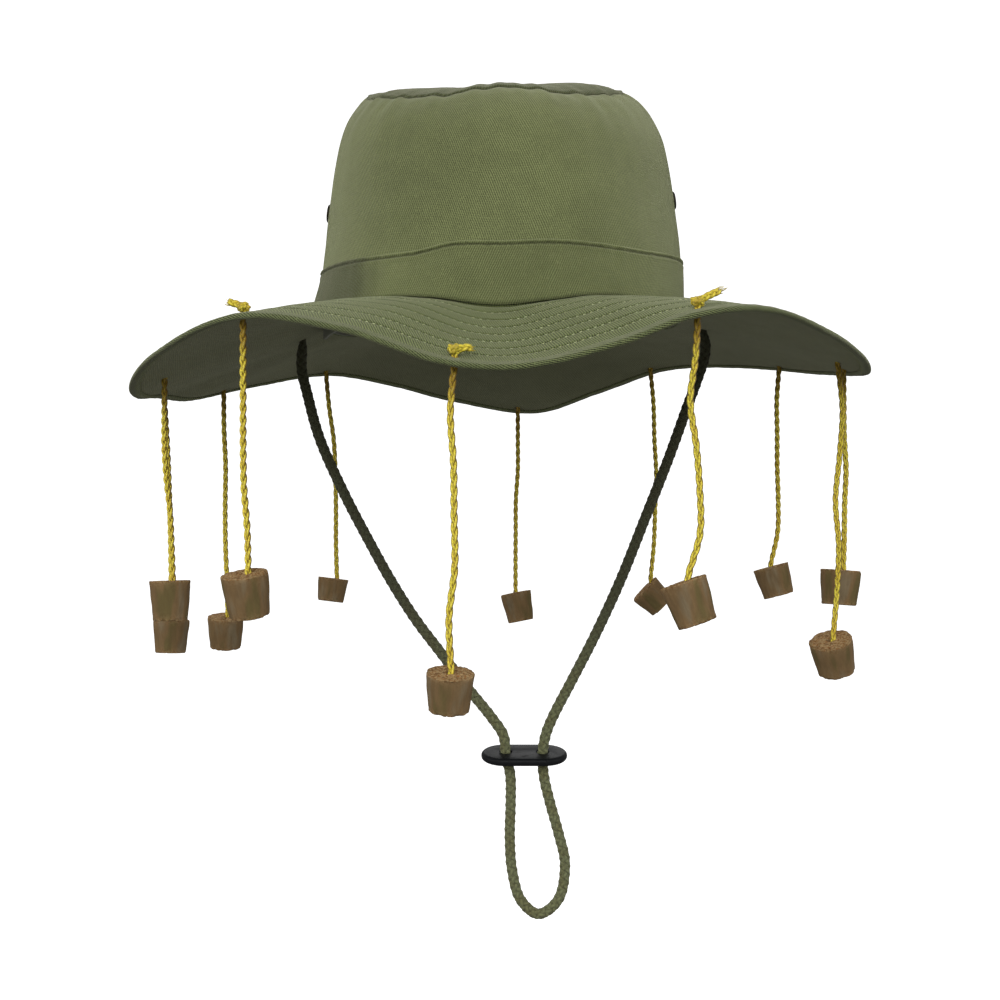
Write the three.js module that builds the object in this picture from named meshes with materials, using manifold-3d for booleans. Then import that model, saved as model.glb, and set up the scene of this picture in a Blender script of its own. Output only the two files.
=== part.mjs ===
// A soft bush hat with twelve corks hanging on strings from its brim, in millimetres, +Z up.
// The origin is the centre of the head opening, level with the seam of crown and brim.
// The front of the hat faces -Y. A bearing is an angle round the hat in degrees: 0 at the front,
// 90 at the wearer's left, which is +X, and it turns an ellipse as an angle turns a circle.

import * as THREE from "three";
import { ParametricGeometry } from "three/addons/geometries/ParametricGeometry.js";
import { mergeVertices } from "three/addons/utils/BufferGeometryUtils.js";
import Module from "manifold-3d";

const wasm = await Module();
wasm.setup();

// Clearance between pieces that are sewn, seated or laid together
const GAP = 0.3;

// Facets round the hat, an eyelet, a cord, a cork and a knot
const AROUND = 52;
const EYELET_SIDES = 10;
const CORD_SIDES = 8;
const CORK_SIDES = 12;
const KNOT_SIDES = 6;

// Crown, measured outside the cloth
const CROWN_HALF_WIDTH = 82.2;
const CROWN_HALF_LENGTH = 101;
const CROWN_HEIGHT = 105.5;
const CROWN_SWAY = 2.2;
const CROWN_WALL = 1.6;
const TIP_HALF_WIDTH = 58.8;
const TIP_HALF_LENGTH = 71;
const TIP_SEAM_DIP = 14;
const TIP_WALL = 1.4;
const TIP_DOME = -1;
const TIP_ROUNDNESS = { front: 1.5, left: 8, right: 3 };
const TIP_BEVEL = 0.03;

// Band and sweatband
const BAND_HEIGHT = 25.5;
const BAND_WALL = 1.2;
const SWEATBAND_WALL = 1.2;
const SWEATBAND_HEIGHT = 28;
const SWEATBAND_DROP = 3;

// Brim, measured outside its binding
const BRIM_HALF_WIDTH = 165;
const BRIM_HALF_LENGTH = 179;
const BRIM_WALL = 1.2;
const BRIM_DROOP = 32;
const BRIM_SEAM_LIFT = 6.5;
const BRIM_SEAM_LEVEL = 0.85;
const BINDING_WALL = 1;
const BINDING_FLAP = 5;
const BINDING_ROUND = 0.9;

// Vent eyelets, one in each side of the crown, at the heights that the photo shows
const EYELET_LEFT_HEIGHT = 57.3;
const EYELET_RIGHT_HEIGHT = 51.3;
const EYELET_BORE = 4;
const EYELET_BARREL = 6;
const EYELET_FLANGE = 8.6;
const EYELET_FLANGE_WALL = 0.9;
const EYELET_BARREL_END = 1.2;

// Strings, their holes and their knots
const STRING_DIAMETER = 2.7;
const STRING_LENGTH = 104;
const STRING_INSET = 8;
const STRING_STEPS = 11;
const HOLE_CLEARANCE = 0.45;
const KNOT_WIDTH = 5.5;
const KNOT_HEIGHT = 3.5;
const TAIL_LENGTH = 7.5;
const TAIL_DIAMETER = 2.6;

// Corks
const CORK_TOP = 17.5;
const CORK_BOTTOM = 14.5;
const CORK_HEIGHT = 15;
const CORK_CHAMFER = 0.7;

// Chin cord and its slider
const CORD_DIAMETER = 4.7;
const CORD_STEPS = 60;
const CORD_END_CLEARANCE = 1.6;
const SLIDER_LENGTH = 39.4;
const SLIDER_WIDTH = 21;
const SLIDER_WALL = 3.6;
const SLIDER_BEVEL = 0.6;
const SLIDER_HOLE_SPACING = 16.8;
const SLIDER_HOLE_CLEARANCE = 0.9;
const SLIDER_TILT = 9;
const SLIDER_X = 11.1;
const SLIDER_Z = -197;

// How the crown wall rounds in and strays sideways, as shares of its height, of its inset from
// brim seam to tip seam and of its sway towards +X
const CROWN_PROFILE = [
  { rise: 0, inset: 0, sway: 0 },
  { rise: 0.26, inset: 0.045, sway: 0.4 },
  { rise: 0.52, inset: 0.165, sway: 0.4 },
  { rise: 0.76, inset: 0.34, sway: 0.18 },
  { rise: 0.87, inset: 0.52, sway: -0.15 },
  { rise: 0.95, inset: 0.76, sway: -0.36 },
  { rise: 1, inset: 1, sway: -1 },
];

// How far the tip seam sinks below the height of the crown, as shares of its dip
const TIP_SEAM = [
  { bearing: -150, dip: 0.88 },
  { bearing: -120, dip: 0.5 },
  { bearing: -90, dip: 0.08 },
  { bearing: -75, dip: 0.42 },
  { bearing: -62, dip: 0.62 },
  { bearing: -45, dip: 0.9 },
  { bearing: -33, dip: 1.03 },
  { bearing: -18, dip: 1.1 },
  { bearing: -7, dip: 0.98 },
  { bearing: 12, dip: 0.93 },
  { bearing: 27, dip: 0.97 },
  { bearing: 42, dip: 0.84 },
  { bearing: 60, dip: 0.54 },
  { bearing: 75, dip: 0.24 },
  { bearing: 90, dip: -0.06 },
  { bearing: 120, dip: 0.42 },
  { bearing: 150, dip: 0.85 },
  { bearing: 180, dip: 0.98 },
];

// The band's top edge, as shares of the band's height
const BAND_EDGE = [
  { bearing: -150, height: 0.96 },
  { bearing: -90, height: 0.9 },
  { bearing: -60, height: 0.86 },
  { bearing: -26, height: 0.85 },
  { bearing: -14, height: 0.96 },
  { bearing: 0, height: 0.96 },
  { bearing: 16, height: 1 },
  { bearing: 45, height: 0.98 },
  { bearing: 78, height: 1.08 },
  { bearing: 105, height: 1.05 },
  { bearing: 150, height: 0.98 },
];

// The brim's folds: how far its edge hangs below the seam, as shares of the droop
const BRIM_FOLDS = [
  { bearing: -170, droop: 0.78 },
  { bearing: -158, droop: 0.53 },
  { bearing: -145, droop: 0.39 },
  { bearing: -128, droop: 0.645 },
  { bearing: -110, droop: 0.945 },
  { bearing: -98, droop: 0.96 },
  { bearing: -87, droop: 1.01 },
  { bearing: -74, droop: 0.93 },
  { bearing: -56, droop: 0.63 },
  { bearing: -36, droop: 0.31 },
  { bearing: -20, droop: 0.52 },
  { bearing: -7, droop: 0.9 },
  { bearing: 3, droop: 0.95 },
  { bearing: 15, droop: 0.68 },
  { bearing: 25, droop: 0.35 },
  { bearing: 37, droop: 0.22 },
  { bearing: 52, droop: 0.415 },
  { bearing: 65, droop: 0.6 },
  { bearing: 80, droop: 0.71 },
  { bearing: 105, droop: 0.57 },
  { bearing: 130, droop: 0.32 },
  { bearing: 146, droop: 0.3 },
  { bearing: 160, droop: 0.66 },
  { bearing: 173, droop: 1 },
];

// Where the tip has a ring of points, as shares of the way from its middle to its seam
const TIP_ROWS = [0, 0.7, 1];

// Where the brim's cloth has a row of points, as shares of its reach from the crown to its edge
const BRIM_ROWS = [0.3, 0.6];

// The corks and their strings, in the order of their bearings. Inset, drop, girth and tall are
// shares of the string's inset from the brim's edge, its length and the cork's widths and height.
// Lean and pitch turn the cork, in degrees: its foot towards +X, and its top face towards the
// front. Seat is how far from the middle of that face the string goes in, in millimetres. Tail is
// the way that the knot's tail points and its share of the usual length. Sway lists how far the
// string strays along X from the plumb line of its hole, in millimetres, at even steps from the
// brim to the cork.
const CORKS = [
  { bearing: -5.8, inset: 1, drop: 1.05, girth: 0.99, tall: 0.94, lean: -3, pitch: 11, seat: 0.3,
    tail: { bearing: 90, rise: 5, length: 0.85 },
    sway: [0, -1.5, -0.4, -0.2, 0, -2, -1.2] },
  { bearing: 27.1, inset: 1, drop: 0.93, girth: 1.01, tall: 1.08, lean: 19, pitch: -4, seat: 1.9,
    tail: { bearing: 100, rise: 26, length: 1.3 },
    sway: [0, -0.8, -2.7, -0.6, 0.7, 0.8, -3.6] },
  { bearing: 79.5, inset: 1.75, drop: 1.163, girth: 1.11, tall: 1.07, lean: 14, pitch: 19, seat: 1.2,
    tail: { bearing: -90, rise: 20, length: 0.9 },
    sway: [0, 2, 0.8, -1, 0.4, -0.4, -2] },
  { bearing: 89, inset: 1, drop: 0.878, girth: 1.07, tall: 1.06, lean: -4, pitch: -4, seat: 1.2,
    tail: { bearing: 170, rise: 20, length: 1 },
    sway: [0, 0.1, 0.3, 1.1, 0.5, 0.3, -0.1] },
  { bearing: 115.8, inset: 1, drop: 0.97, girth: 1.04, tall: 1.02, lean: 15, pitch: -5, seat: 0,
    tail: { bearing: 190, rise: 20, length: 1 },
    sway: [0, -1.2, -1, -1, -0.5, -0.8, -4.3] },
  { bearing: 148.1, inset: 1, drop: 1.13, girth: 1.04, tall: 0.92, lean: 46, pitch: 0, seat: 5,
    tail: { bearing: 65, rise: 20, length: 1 },
    sway: [0, 1.7, 2.2, 3.2, 2.6, 1.9, 0.1] },
  { bearing: 176.3, inset: 1, drop: 1.005, girth: 1, tall: 1.1, lean: 11, pitch: -6, seat: 0,
    tail: { bearing: 255, rise: 20, length: 1 },
    sway: [0, 0, 0, -1.1, -1.2, -1.3, -1.3] },
  { bearing: -142.8, inset: 1, drop: 1.085, girth: 0.96, tall: 0.85, lean: -7, pitch: -5, seat: 1.9,
    tail: { bearing: -60, rise: 20, length: 1 },
    sway: [0, 1.6, 4.2, 5.1, 5.4, 5.4, 5.9] },
  { bearing: -116.7, inset: 1, drop: 1.1, girth: 1.06, tall: 1.08, lean: -2, pitch: 8, seat: 1,
    tail: { bearing: 200, rise: 20, length: 1 },
    sway: [0, 0.1, 0.9, 0.7, 0.8, 1.5, 2] },
  { bearing: -94, inset: 1, drop: 1.015, girth: 0.97, tall: 1.03, lean: -1, pitch: -4, seat: 0,
    tail: { bearing: 185, rise: 20, length: 1 },
    sway: [0, 1.1, 2, 2.6, 3, 3.3, 3.4] },
  { bearing: -76, inset: 1.9, drop: 0.838, girth: 1.02, tall: 1.16, lean: 1.5, pitch: -3, seat: 1.3,
    tail: { bearing: 90, rise: 20, length: 0.9 },
    sway: [0, -0.1, -0.1, 0.8, 2.4, 3.1, 3.6] },
  { bearing: -37.5, inset: 1, drop: 0.914, girth: 1.04, tall: 1.1, lean: 6, pitch: 9, seat: 1.5,
    tail: { bearing: -95, rise: 19, length: 0.85 },
    sway: [0, 0, 0, 0, 0.3, 1.5, 1.9] },
];

// The chin cord's route as x and z in the plane through the middle of the crown, from just under
// the brim at -X, through the slider, round its loop and up to the brim at +X
const CORD_LEFT = { bearing: -90, reach: 0.1 };
const CORD_RIGHT = { bearing: 90, reach: 0.135 };
const CORD_ROUTE = [
  [-91, -19.4], [-88.3, -31.7], [-82.8, -51.5], [-71.6, -76.7], [-60.6, -97.8], [-49.6, -117.6],
  [-38.5, -135], [-27.5, -149.5], [-14.5, -166.5], [-3.6, -180], [1.6, -188],
  [SLIDER_X - SLIDER_HOLE_SPACING / 2, SLIDER_Z],
  [4.7, -206], [4.9, -218], [4.5, -235], [5.6, -250], [9.6, -263.5], [17.6, -269.8], [26.6, -263.4],
  [29.8, -247], [26.9, -233], [23, -219], [20.2, -207],
  [SLIDER_X + SLIDER_HOLE_SPACING / 2, SLIDER_Z],
  [21, -187.6], [24.2, -179.5], [32.8, -163], [43.9, -141.4], [55.1, -117.1], [66.1, -89.5],
  [77.1, -61.5], [85.6, -38], [90.4, -25], [93.9, -14], [94.2, -8.5],
];

// Colours, roughness and metalness of the materials
const TWILL = { color: 0x66734a, roughness: 0.95, metalness: 0 };
const BRIM_TWILL = { color: 0x6b774c, roughness: 0.95, metalness: 0 };
const LINING = { color: 0x5b6154, roughness: 0.95, metalness: 0 };
const DARK_METAL = { color: 0x2b2c24, roughness: 0.45, metalness: 0.7 };
const YELLOW_YARN = { color: 0xc9ab2a, roughness: 0.6, metalness: 0 };
const BROWN_CORK = { color: 0x75604a, roughness: 0.9, metalness: 0 };
const GREEN_CORD = { color: 0x3f4a2c, roughness: 0.9, metalness: 0 };
const BLACK_PLASTIC = { color: 0x23242c, roughness: 0.5, metalness: 0 };

const UP = new THREE.Vector3(0, 0, 1);
const radians = THREE.MathUtils.degToRad;

// The value of a table's column at a bearing, on a smooth curve that closes round the hat
function roundTable(table, column, bearing) {
  const turned = THREE.MathUtils.euclideanModulo(bearing - table[0].bearing, 360);
  const at = (i) => {
    const laps = Math.floor(i / table.length);
    const row = table[i - laps * table.length];
    return { x: row.bearing - table[0].bearing + 360 * laps, y: row[column] };
  };
  let i = 0;
  while (at(i + 1).x <= turned) i += 1;
  const [before, start, end, after] = [at(i - 1), at(i), at(i + 1), at(i + 2)];
  const span = end.x - start.x;
  const t = (turned - start.x) / span;
  const startSlope = ((end.y - before.y) / (end.x - before.x)) * span;
  const endSlope = ((after.y - start.y) / (after.x - start.x)) * span;
  return (
    start.y * (1 + 2 * t) * (1 - t) ** 2 +
    startSlope * t * (1 - t) ** 2 +
    end.y * t ** 2 * (3 - 2 * t) +
    endSlope * t ** 2 * (t - 1)
  );
}

function onEllipse(bearing, halfWidth, halfLength, z) {
  const angle = radians(bearing);
  return new THREE.Vector3(halfWidth * Math.sin(angle), -halfLength * Math.cos(angle), z);
}

// The height of the brim's top side. Reach is 0 at the crown and 1 at the outer edge: the cloth
// runs almost straight down in the low folds and bends over late in the high ones.
function brimHeight(bearing, reach) {
  const droop = roundTable(BRIM_FOLDS, "droop", bearing);
  const out = Math.max(reach, 0);
  const lift = BRIM_SEAM_LIFT * (BRIM_SEAM_LEVEL - droop) * (1 - out);
  return lift - BRIM_DROOP * droop * out ** (0.85 + 1.2 * (1 - droop));
}

// A point of the brim at a depth below its top side
function brimPoint(bearing, reach, depth) {
  return onEllipse(
    bearing,
    THREE.MathUtils.lerp(CROWN_HALF_WIDTH, BRIM_HALF_WIDTH, reach),
    THREE.MathUtils.lerp(CROWN_HALF_LENGTH, BRIM_HALF_LENGTH, reach),
    brimHeight(bearing, reach) - depth,
  );
}

// The reach of what lies a distance inside the outer edge
function reachInside(distance) {
  return 1 - distance / (BRIM_HALF_WIDTH - CROWN_HALF_WIDTH);
}

function crownFoot(bearing) {
  return brimHeight(bearing, 0) + GAP;
}

function tipSeamHeight(bearing) {
  return CROWN_HEIGHT - TIP_SEAM_DIP * roundTable(TIP_SEAM, "dip", bearing);
}

// A point of the crown wall's outside at a share of its rise
function crownPoint(bearing, rise) {
  const last = CROWN_PROFILE.findIndex((row) => row.rise >= Math.min(rise, 1));
  const above = CROWN_PROFILE[Math.max(last, 1)];
  const below = CROWN_PROFILE[Math.max(last, 1) - 1];
  const share = (Math.max(rise, 0) - below.rise) / (above.rise - below.rise);
  const inset = THREE.MathUtils.lerp(below.inset, above.inset, share);
  const point = onEllipse(
    bearing,
    THREE.MathUtils.lerp(CROWN_HALF_WIDTH, TIP_HALF_WIDTH, inset),
    THREE.MathUtils.lerp(CROWN_HALF_LENGTH, TIP_HALF_LENGTH, inset),
    THREE.MathUtils.lerp(crownFoot(bearing), tipSeamHeight(bearing), rise),
  );
  point.x += CROWN_SWAY * THREE.MathUtils.lerp(below.sway, above.sway, share);
  return point;
}

// A point at a height beside the crown wall, moved out from its outside along the ground
function besideCrown(bearing, z, outward) {
  const foot = crownFoot(bearing);
  const point = crownPoint(bearing, (z - foot) / (tipSeamHeight(bearing) - foot));
  const out = groundNormal(bearing).multiplyScalar(outward);
  return new THREE.Vector3(point.x + out.x, point.y + out.y, z);
}

// The level direction that points straight out of the crown at a bearing
function groundNormal(bearing) {
  const angle = radians(bearing);
  return new THREE.Vector3(
    CROWN_HALF_LENGTH * Math.sin(angle),
    -CROWN_HALF_WIDTH * Math.cos(angle),
    0,
  ).normalize();
}

// The direction that points straight out of the crown's cloth
function crownNormal(bearing, rise) {
  const step = 0.02;
  const low = crownPoint(bearing, Math.max(rise - step, 0));
  const high = crownPoint(bearing, Math.min(rise + step, 1));
  const along = crownPoint(bearing + 1, rise).sub(crownPoint(bearing - 1, rise));
  return along.cross(high.sub(low)).normalize();
}

// A solid that runs right round the hat. The section gives the closed ring of its points at a
// bearing, up the outside and down the inside.
function ringSolid(section) {
  const count = section(0).length;
  const place = (v, u, target) => {
    const bearing = (Math.round(u * AROUND) % AROUND) * (360 / AROUND);
    target.copy(section(bearing)[Math.round(v * count) % count]);
  };
  return new ParametricGeometry((u, v, target) => place(v, u, target), AROUND, count);
}

function manifoldOf(geometry) {
  const bare = geometry.clone();
  bare.deleteAttribute("normal");
  bare.deleteAttribute("uv");
  const merged = mergeVertices(bare);
  return new wasm.Manifold(
    new wasm.Mesh({
      numProp: 3,
      vertProperties: merged.getAttribute("position").array,
      triVerts: new Uint32Array(merged.index.array),
    }),
  );
}

function geometryOf(solid) {
  const mesh = solid.getMesh();
  const geometry = new THREE.BufferGeometry();
  geometry.setAttribute("position", new THREE.BufferAttribute(mesh.vertProperties, 3));
  geometry.setIndex(new THREE.BufferAttribute(mesh.triVerts, 1));
  geometry.computeVertexNormals();
  return geometry;
}

// A rod with its middle at a point, its length along a direction
function rod(middle, direction, length, diameter, sides) {
  const turn = new THREE.Quaternion().setFromUnitVectors(
    new THREE.Vector3(0, 1, 0),
    direction.clone().normalize(),
  );
  return new THREE.CylinderGeometry(diameter / 2, diameter / 2, length, sides)
    .applyQuaternion(turn)
    .translate(middle.x, middle.y, middle.z);
}

function makeCrownSide() {
  const wall = ringSolid((bearing) => {
    const outside = CROWN_PROFILE.map(({ rise }) => crownPoint(bearing, rise));
    const inside = CROWN_PROFILE.map(({ rise }) => {
      const normal = crownNormal(bearing, rise);
      return crownPoint(bearing, rise).addScaledVector(normal, -CROWN_WALL);
    });
    inside[0].z = outside[0].z;
    return [...outside, ...inside.reverse()];
  });
  return geometryOf(
    EYELETS.reduce(
      (cloth, { at, out }) =>
        cloth.subtract(
          manifoldOf(rod(at, out, 6 * CROWN_WALL, EYELET_BARREL + 2 * GAP, EYELET_SIDES)),
        ),
      manifoldOf(wall),
    ),
  );
}

function makeCrownTip() {
  const middle = CROWN_HEIGHT + TIP_DOME;
  const underside = (bearing, share) => {
    const rim = crownPoint(bearing, 1);
    const roundness = THREE.MathUtils.lerp(
      TIP_ROUNDNESS.front,
      bearing < 180 ? TIP_ROUNDNESS.left : TIP_ROUNDNESS.right,
      Math.sin(radians(bearing)) ** 4,
    );
    const z = THREE.MathUtils.lerp(middle, rim.z + GAP, share ** roundness);
    return new THREE.Vector3(rim.x * share, rim.y * share, z);
  };
  return ringSolid((bearing) => {
    const under = TIP_ROWS.map((share) => underside(bearing, share));
    const over = under.map((point) => point.clone().addScaledVector(UP, TIP_WALL));
    const edge = over.at(-1);
    edge.x *= 1 - TIP_BEVEL;
    edge.y *= 1 - TIP_BEVEL;
    return [...under, ...over.reverse()];
  });
}

function makeBand() {
  return ringSolid((bearing) => {
    const top = BAND_HEIGHT * roundTable(BAND_EDGE, "height", bearing);
    const foot = (outward) => {
      const reach = outward / (BRIM_HALF_WIDTH - CROWN_HALF_WIDTH);
      return Math.max(brimHeight(bearing, reach) + GAP, crownFoot(bearing) - BAND_WALL);
    };
    const wall = (outward) =>
      [0, 0.5, 1].map((share) =>
        besideCrown(bearing, THREE.MathUtils.lerp(foot(outward), top, share), outward),
      );
    return [...wall(GAP + BAND_WALL), ...wall(GAP).reverse()];
  });
}

function makeSweatband() {
  const outward = -(CROWN_WALL + GAP);
  return ringSolid((bearing) => {
    const wall = (out) => [
      besideCrown(bearing, crownFoot(bearing) - BRIM_WALL - SWEATBAND_DROP, out),
      besideCrown(bearing, SWEATBAND_HEIGHT, out),
    ];
    return [...wall(outward), ...wall(outward - SWEATBAND_WALL).reverse()];
  });
}

function makeBrim() {
  const inner = -CROWN_WALL / (BRIM_HALF_WIDTH - CROWN_HALF_WIDTH);
  const reaches = [
    inner,
    ...BRIM_ROWS,
    reachInside(BINDING_FLAP + GAP),
    reachInside(BINDING_WALL + GAP),
  ];
  const cloth = ringSolid((bearing) => {
    const under = reaches.map((reach) => brimPoint(bearing, reach, BRIM_WALL));
    const over = reaches.map((reach) => brimPoint(bearing, reach, 0));
    return [...under, ...over.reverse()];
  });
  const hole = STRING_DIAMETER + 2 * HOLE_CLEARANCE;
  const holes = CORKS.map((cork) =>
    rod(stringHole(cork, 0), UP, 8 * BRIM_WALL, hole, CORD_SIDES),
  );
  return geometryOf(
    holes.reduce((rest, cut) => rest.subtract(manifoldOf(cut)), manifoldOf(cloth)),
  );
}

function makeBrimBinding() {
  const low = BRIM_WALL + GAP;
  const corner = (bearing, inside, depth) => brimPoint(bearing, reachInside(inside), depth);
  return ringSolid((bearing) => [
    corner(bearing, BINDING_FLAP, low + BINDING_WALL),
    corner(bearing, BINDING_ROUND, low + BINDING_WALL),
    corner(bearing, 0, BRIM_WALL / 2),
    corner(bearing, BINDING_ROUND, -GAP - BINDING_WALL),
    corner(bearing, BINDING_FLAP, -GAP - BINDING_WALL),
    corner(bearing, BINDING_FLAP, -GAP),
    corner(bearing, BINDING_WALL, -GAP),
    corner(bearing, BINDING_WALL, low),
    corner(bearing, BINDING_FLAP, low),
  ]);
}

// The barrel lies in the wall's hole, and the flange on the outside of the cloth
function makeEyelet() {
  const outside = GAP + EYELET_FLANGE_WALL;
  const inside = -(CROWN_WALL + EYELET_BARREL_END);
  const profile = [
    [EYELET_BORE / 2, inside],
    [EYELET_BARREL / 2, inside],
    [EYELET_BARREL / 2, GAP],
    [EYELET_FLANGE / 2, GAP],
    [EYELET_FLANGE / 2 - EYELET_FLANGE_WALL / 2, outside],
    [EYELET_BORE / 2, outside],
    [EYELET_BORE / 2, inside],
  ].map(([radius, height]) => new THREE.Vector2(radius, height));
  return new THREE.LatheGeometry(profile, EYELET_SIDES);
}

function makeCord(route, diameter, steps) {
  const section = new THREE.Shape(
    Array.from({ length: CORD_SIDES }, (_, i) => {
      const angle = (2 * Math.PI * i) / CORD_SIDES;
      return new THREE.Vector2(Math.cos(angle), Math.sin(angle)).multiplyScalar(diameter / 2);
    }),
  );
  const path = new THREE.CatmullRomCurve3(route, false, "centripetal");
  return new THREE.ExtrudeGeometry(section, { steps, extrudePath: path });
}

function chinCordRoute() {
  const end = ({ bearing, reach }) => brimPoint(bearing, reach, BRIM_WALL + CORD_END_CLEARANCE);
  return [
    end(CORD_LEFT),
    ...CORD_ROUTE.map(([x, z]) => new THREE.Vector3(x, 0, z)),
    end(CORD_RIGHT),
  ];
}

function makeSlider() {
  const round = SLIDER_WIDTH / 2 - SLIDER_BEVEL;
  const straight = (SLIDER_LENGTH - SLIDER_WIDTH) / 2;
  const outline = new THREE.Shape()
    .absarc(straight, 0, round, -Math.PI / 2, Math.PI / 2)
    .absarc(-straight, 0, round, Math.PI / 2, (3 * Math.PI) / 2);
  outline.closePath();
  const bore = CORD_DIAMETER / 2 + SLIDER_HOLE_CLEARANCE + SLIDER_BEVEL;
  outline.holes = [-1, 1].map((side) =>
    new THREE.Path().absarc((side * SLIDER_HOLE_SPACING) / 2, 0, bore, 0, 2 * Math.PI, true),
  );
  const depth = SLIDER_WALL - 2 * SLIDER_BEVEL;
  return new THREE.ExtrudeGeometry(outline, {
    depth,
    curveSegments: 5,
    bevelThickness: SLIDER_BEVEL,
    bevelSize: SLIDER_BEVEL,
    bevelSegments: 1,
  }).translate(0, 0, -depth / 2);
}

// The middle of a string's hole at a depth below the brim's top side
function stringHole({ bearing, inset }, depth) {
  return brimPoint(bearing, reachInside(STRING_INSET * inset), depth);
}

// A string's route, from under the brim to just above the slanting top of its cork
function stringRoute(cork) {
  const { drop, lean, pitch, sway } = cork;
  const top = stringHole(cork, BRIM_WALL + GAP);
  const slant = Math.hypot(Math.tan(radians(lean)), Math.tan(radians(pitch)));
  const length = STRING_LENGTH * drop - GAP - (slant * STRING_DIAMETER) / 2;
  return sway.map(
    (stray, i) =>
      new THREE.Vector3(top.x + stray, top.y, top.z - (length * i) / (sway.length - 1)),
  );
}

// How steep the brim is round a hole, as a rise over a run
function brimSlope({ bearing, inset }) {
  const reach = reachInside(STRING_INSET * inset);
  const step = 0.04;
  const here = brimPoint(bearing, reach, 0);
  const slopes = [
    brimPoint(bearing, reach + step, 0),
    brimPoint(bearing, reach - step, 0),
    brimPoint(bearing + 2, reach, 0),
    brimPoint(bearing - 2, reach, 0),
  ].map((point) => Math.abs(point.z - here.z) / Math.hypot(point.x - here.x, point.y - here.y));
  return Math.max(...slopes);
}

// A knot on the brim, with its tail to one side and its stub down through the brim
function makeKnot(cork) {
  const { tail } = cork;
  const hole = stringHole(cork, 0);
  const stand = Math.hypot(KNOT_HEIGHT / 2, (brimSlope(cork) * KNOT_WIDTH) / 2) + GAP;
  const middle = hole.clone().addScaledVector(UP, stand);
  const ball = new THREE.SphereGeometry(0.5, KNOT_SIDES, KNOT_SIDES - 2)
    .rotateX(Math.PI / 2)
    .scale(KNOT_WIDTH, KNOT_WIDTH, KNOT_HEIGHT)
    .translate(middle.x, middle.y, middle.z);
  const stub = rod(
    hole.clone().addScaledVector(UP, (stand - BRIM_WALL) / 2),
    UP,
    stand + BRIM_WALL,
    STRING_DIAMETER,
    KNOT_SIDES,
  );
  const run = Math.cos(radians(tail.rise));
  const away = onEllipse(tail.bearing, run, run, Math.sin(radians(tail.rise)));
  const length = TAIL_LENGTH * tail.length;
  const end = rod(
    middle.clone().addScaledVector(away, length / 2),
    away,
    length,
    TAIL_DIAMETER,
    KNOT_SIDES,
  );
  return geometryOf(manifoldOf(ball).add(manifoldOf(stub)).add(manifoldOf(end)));
}

// A tapered cork with its top face in the middle of its own frame
function makeCork({ girth, tall }) {
  const top = (girth * CORK_TOP) / 2;
  const foot = (girth * CORK_BOTTOM) / 2;
  const height = tall * CORK_HEIGHT;
  const profile = [
    [0, -height],
    [foot - CORK_CHAMFER, -height],
    [foot, CORK_CHAMFER - height],
    [top, -CORK_CHAMFER],
    [top - CORK_CHAMFER, 0],
    [0, 0],
  ].map(([radius, z]) => new THREE.Vector2(radius, z));
  return new THREE.LatheGeometry(profile, CORK_SIDES).rotateX(Math.PI / 2);
}

function named(name, geometry, look) {
  const mesh = new THREE.Mesh(geometry, new THREE.MeshStandardMaterial(look));
  mesh.name = name;
  return mesh;
}

const EYELETS = [
  { name: "eyelet_left", bearing: 90, height: EYELET_LEFT_HEIGHT },
  { name: "eyelet_right", bearing: -90, height: EYELET_RIGHT_HEIGHT },
].map(({ name, bearing, height }) => {
  const foot = crownFoot(bearing);
  const rise = (height - foot) / (tipSeamHeight(bearing) - foot);
  return { name, at: crownPoint(bearing, rise), out: crownNormal(bearing, rise) };
});

const hat = new THREE.Group();

hat.add(
  named("crown_side", makeCrownSide(), TWILL),
  named("crown_tip", makeCrownTip(), TWILL),
  named("band", makeBand(), TWILL),
  named("sweatband", makeSweatband(), LINING),
  named("brim", makeBrim(), BRIM_TWILL),
  named("brim_binding", makeBrimBinding(), BRIM_TWILL),
);

for (const { name, at, out } of EYELETS) {
  const eyelet = named(name, makeEyelet(), DARK_METAL);
  eyelet.quaternion.setFromUnitVectors(new THREE.Vector3(0, 1, 0), out);
  eyelet.position.copy(at);
  hat.add(eyelet);
}

hat.add(named("chin_cord", makeCord(chinCordRoute(), CORD_DIAMETER, CORD_STEPS), GREEN_CORD));

const slider = named("cord_slider", makeSlider(), BLACK_PLASTIC);
slider.position.set(SLIDER_X, 0, SLIDER_Z);
slider.rotation.x = radians(SLIDER_TILT);
hat.add(slider);

CORKS.forEach((cork, i) => {
  const label = String(i + 1).padStart(2, "0");
  const route = stringRoute(cork);
  const block = named(`cork_${label}`, makeCork(cork), BROWN_CORK);
  block.position.copy(route.at(-1));
  block.position.z = route[0].z - STRING_LENGTH * cork.drop;
  block.rotation.set(radians(cork.pitch), -radians(cork.lean), 0);
  block.translateX(-cork.seat);
  hat.add(
    named(`knot_${label}`, makeKnot(cork), YELLOW_YARN),
    named(`string_${label}`, makeCord(route, STRING_DIAMETER, STRING_STEPS), YELLOW_YARN),
    block,
  );
});

export default hat;
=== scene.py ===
import math
import random

import bmesh
import bpy
import numpy as np
from mathutils import Matrix, Vector, noise


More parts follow.
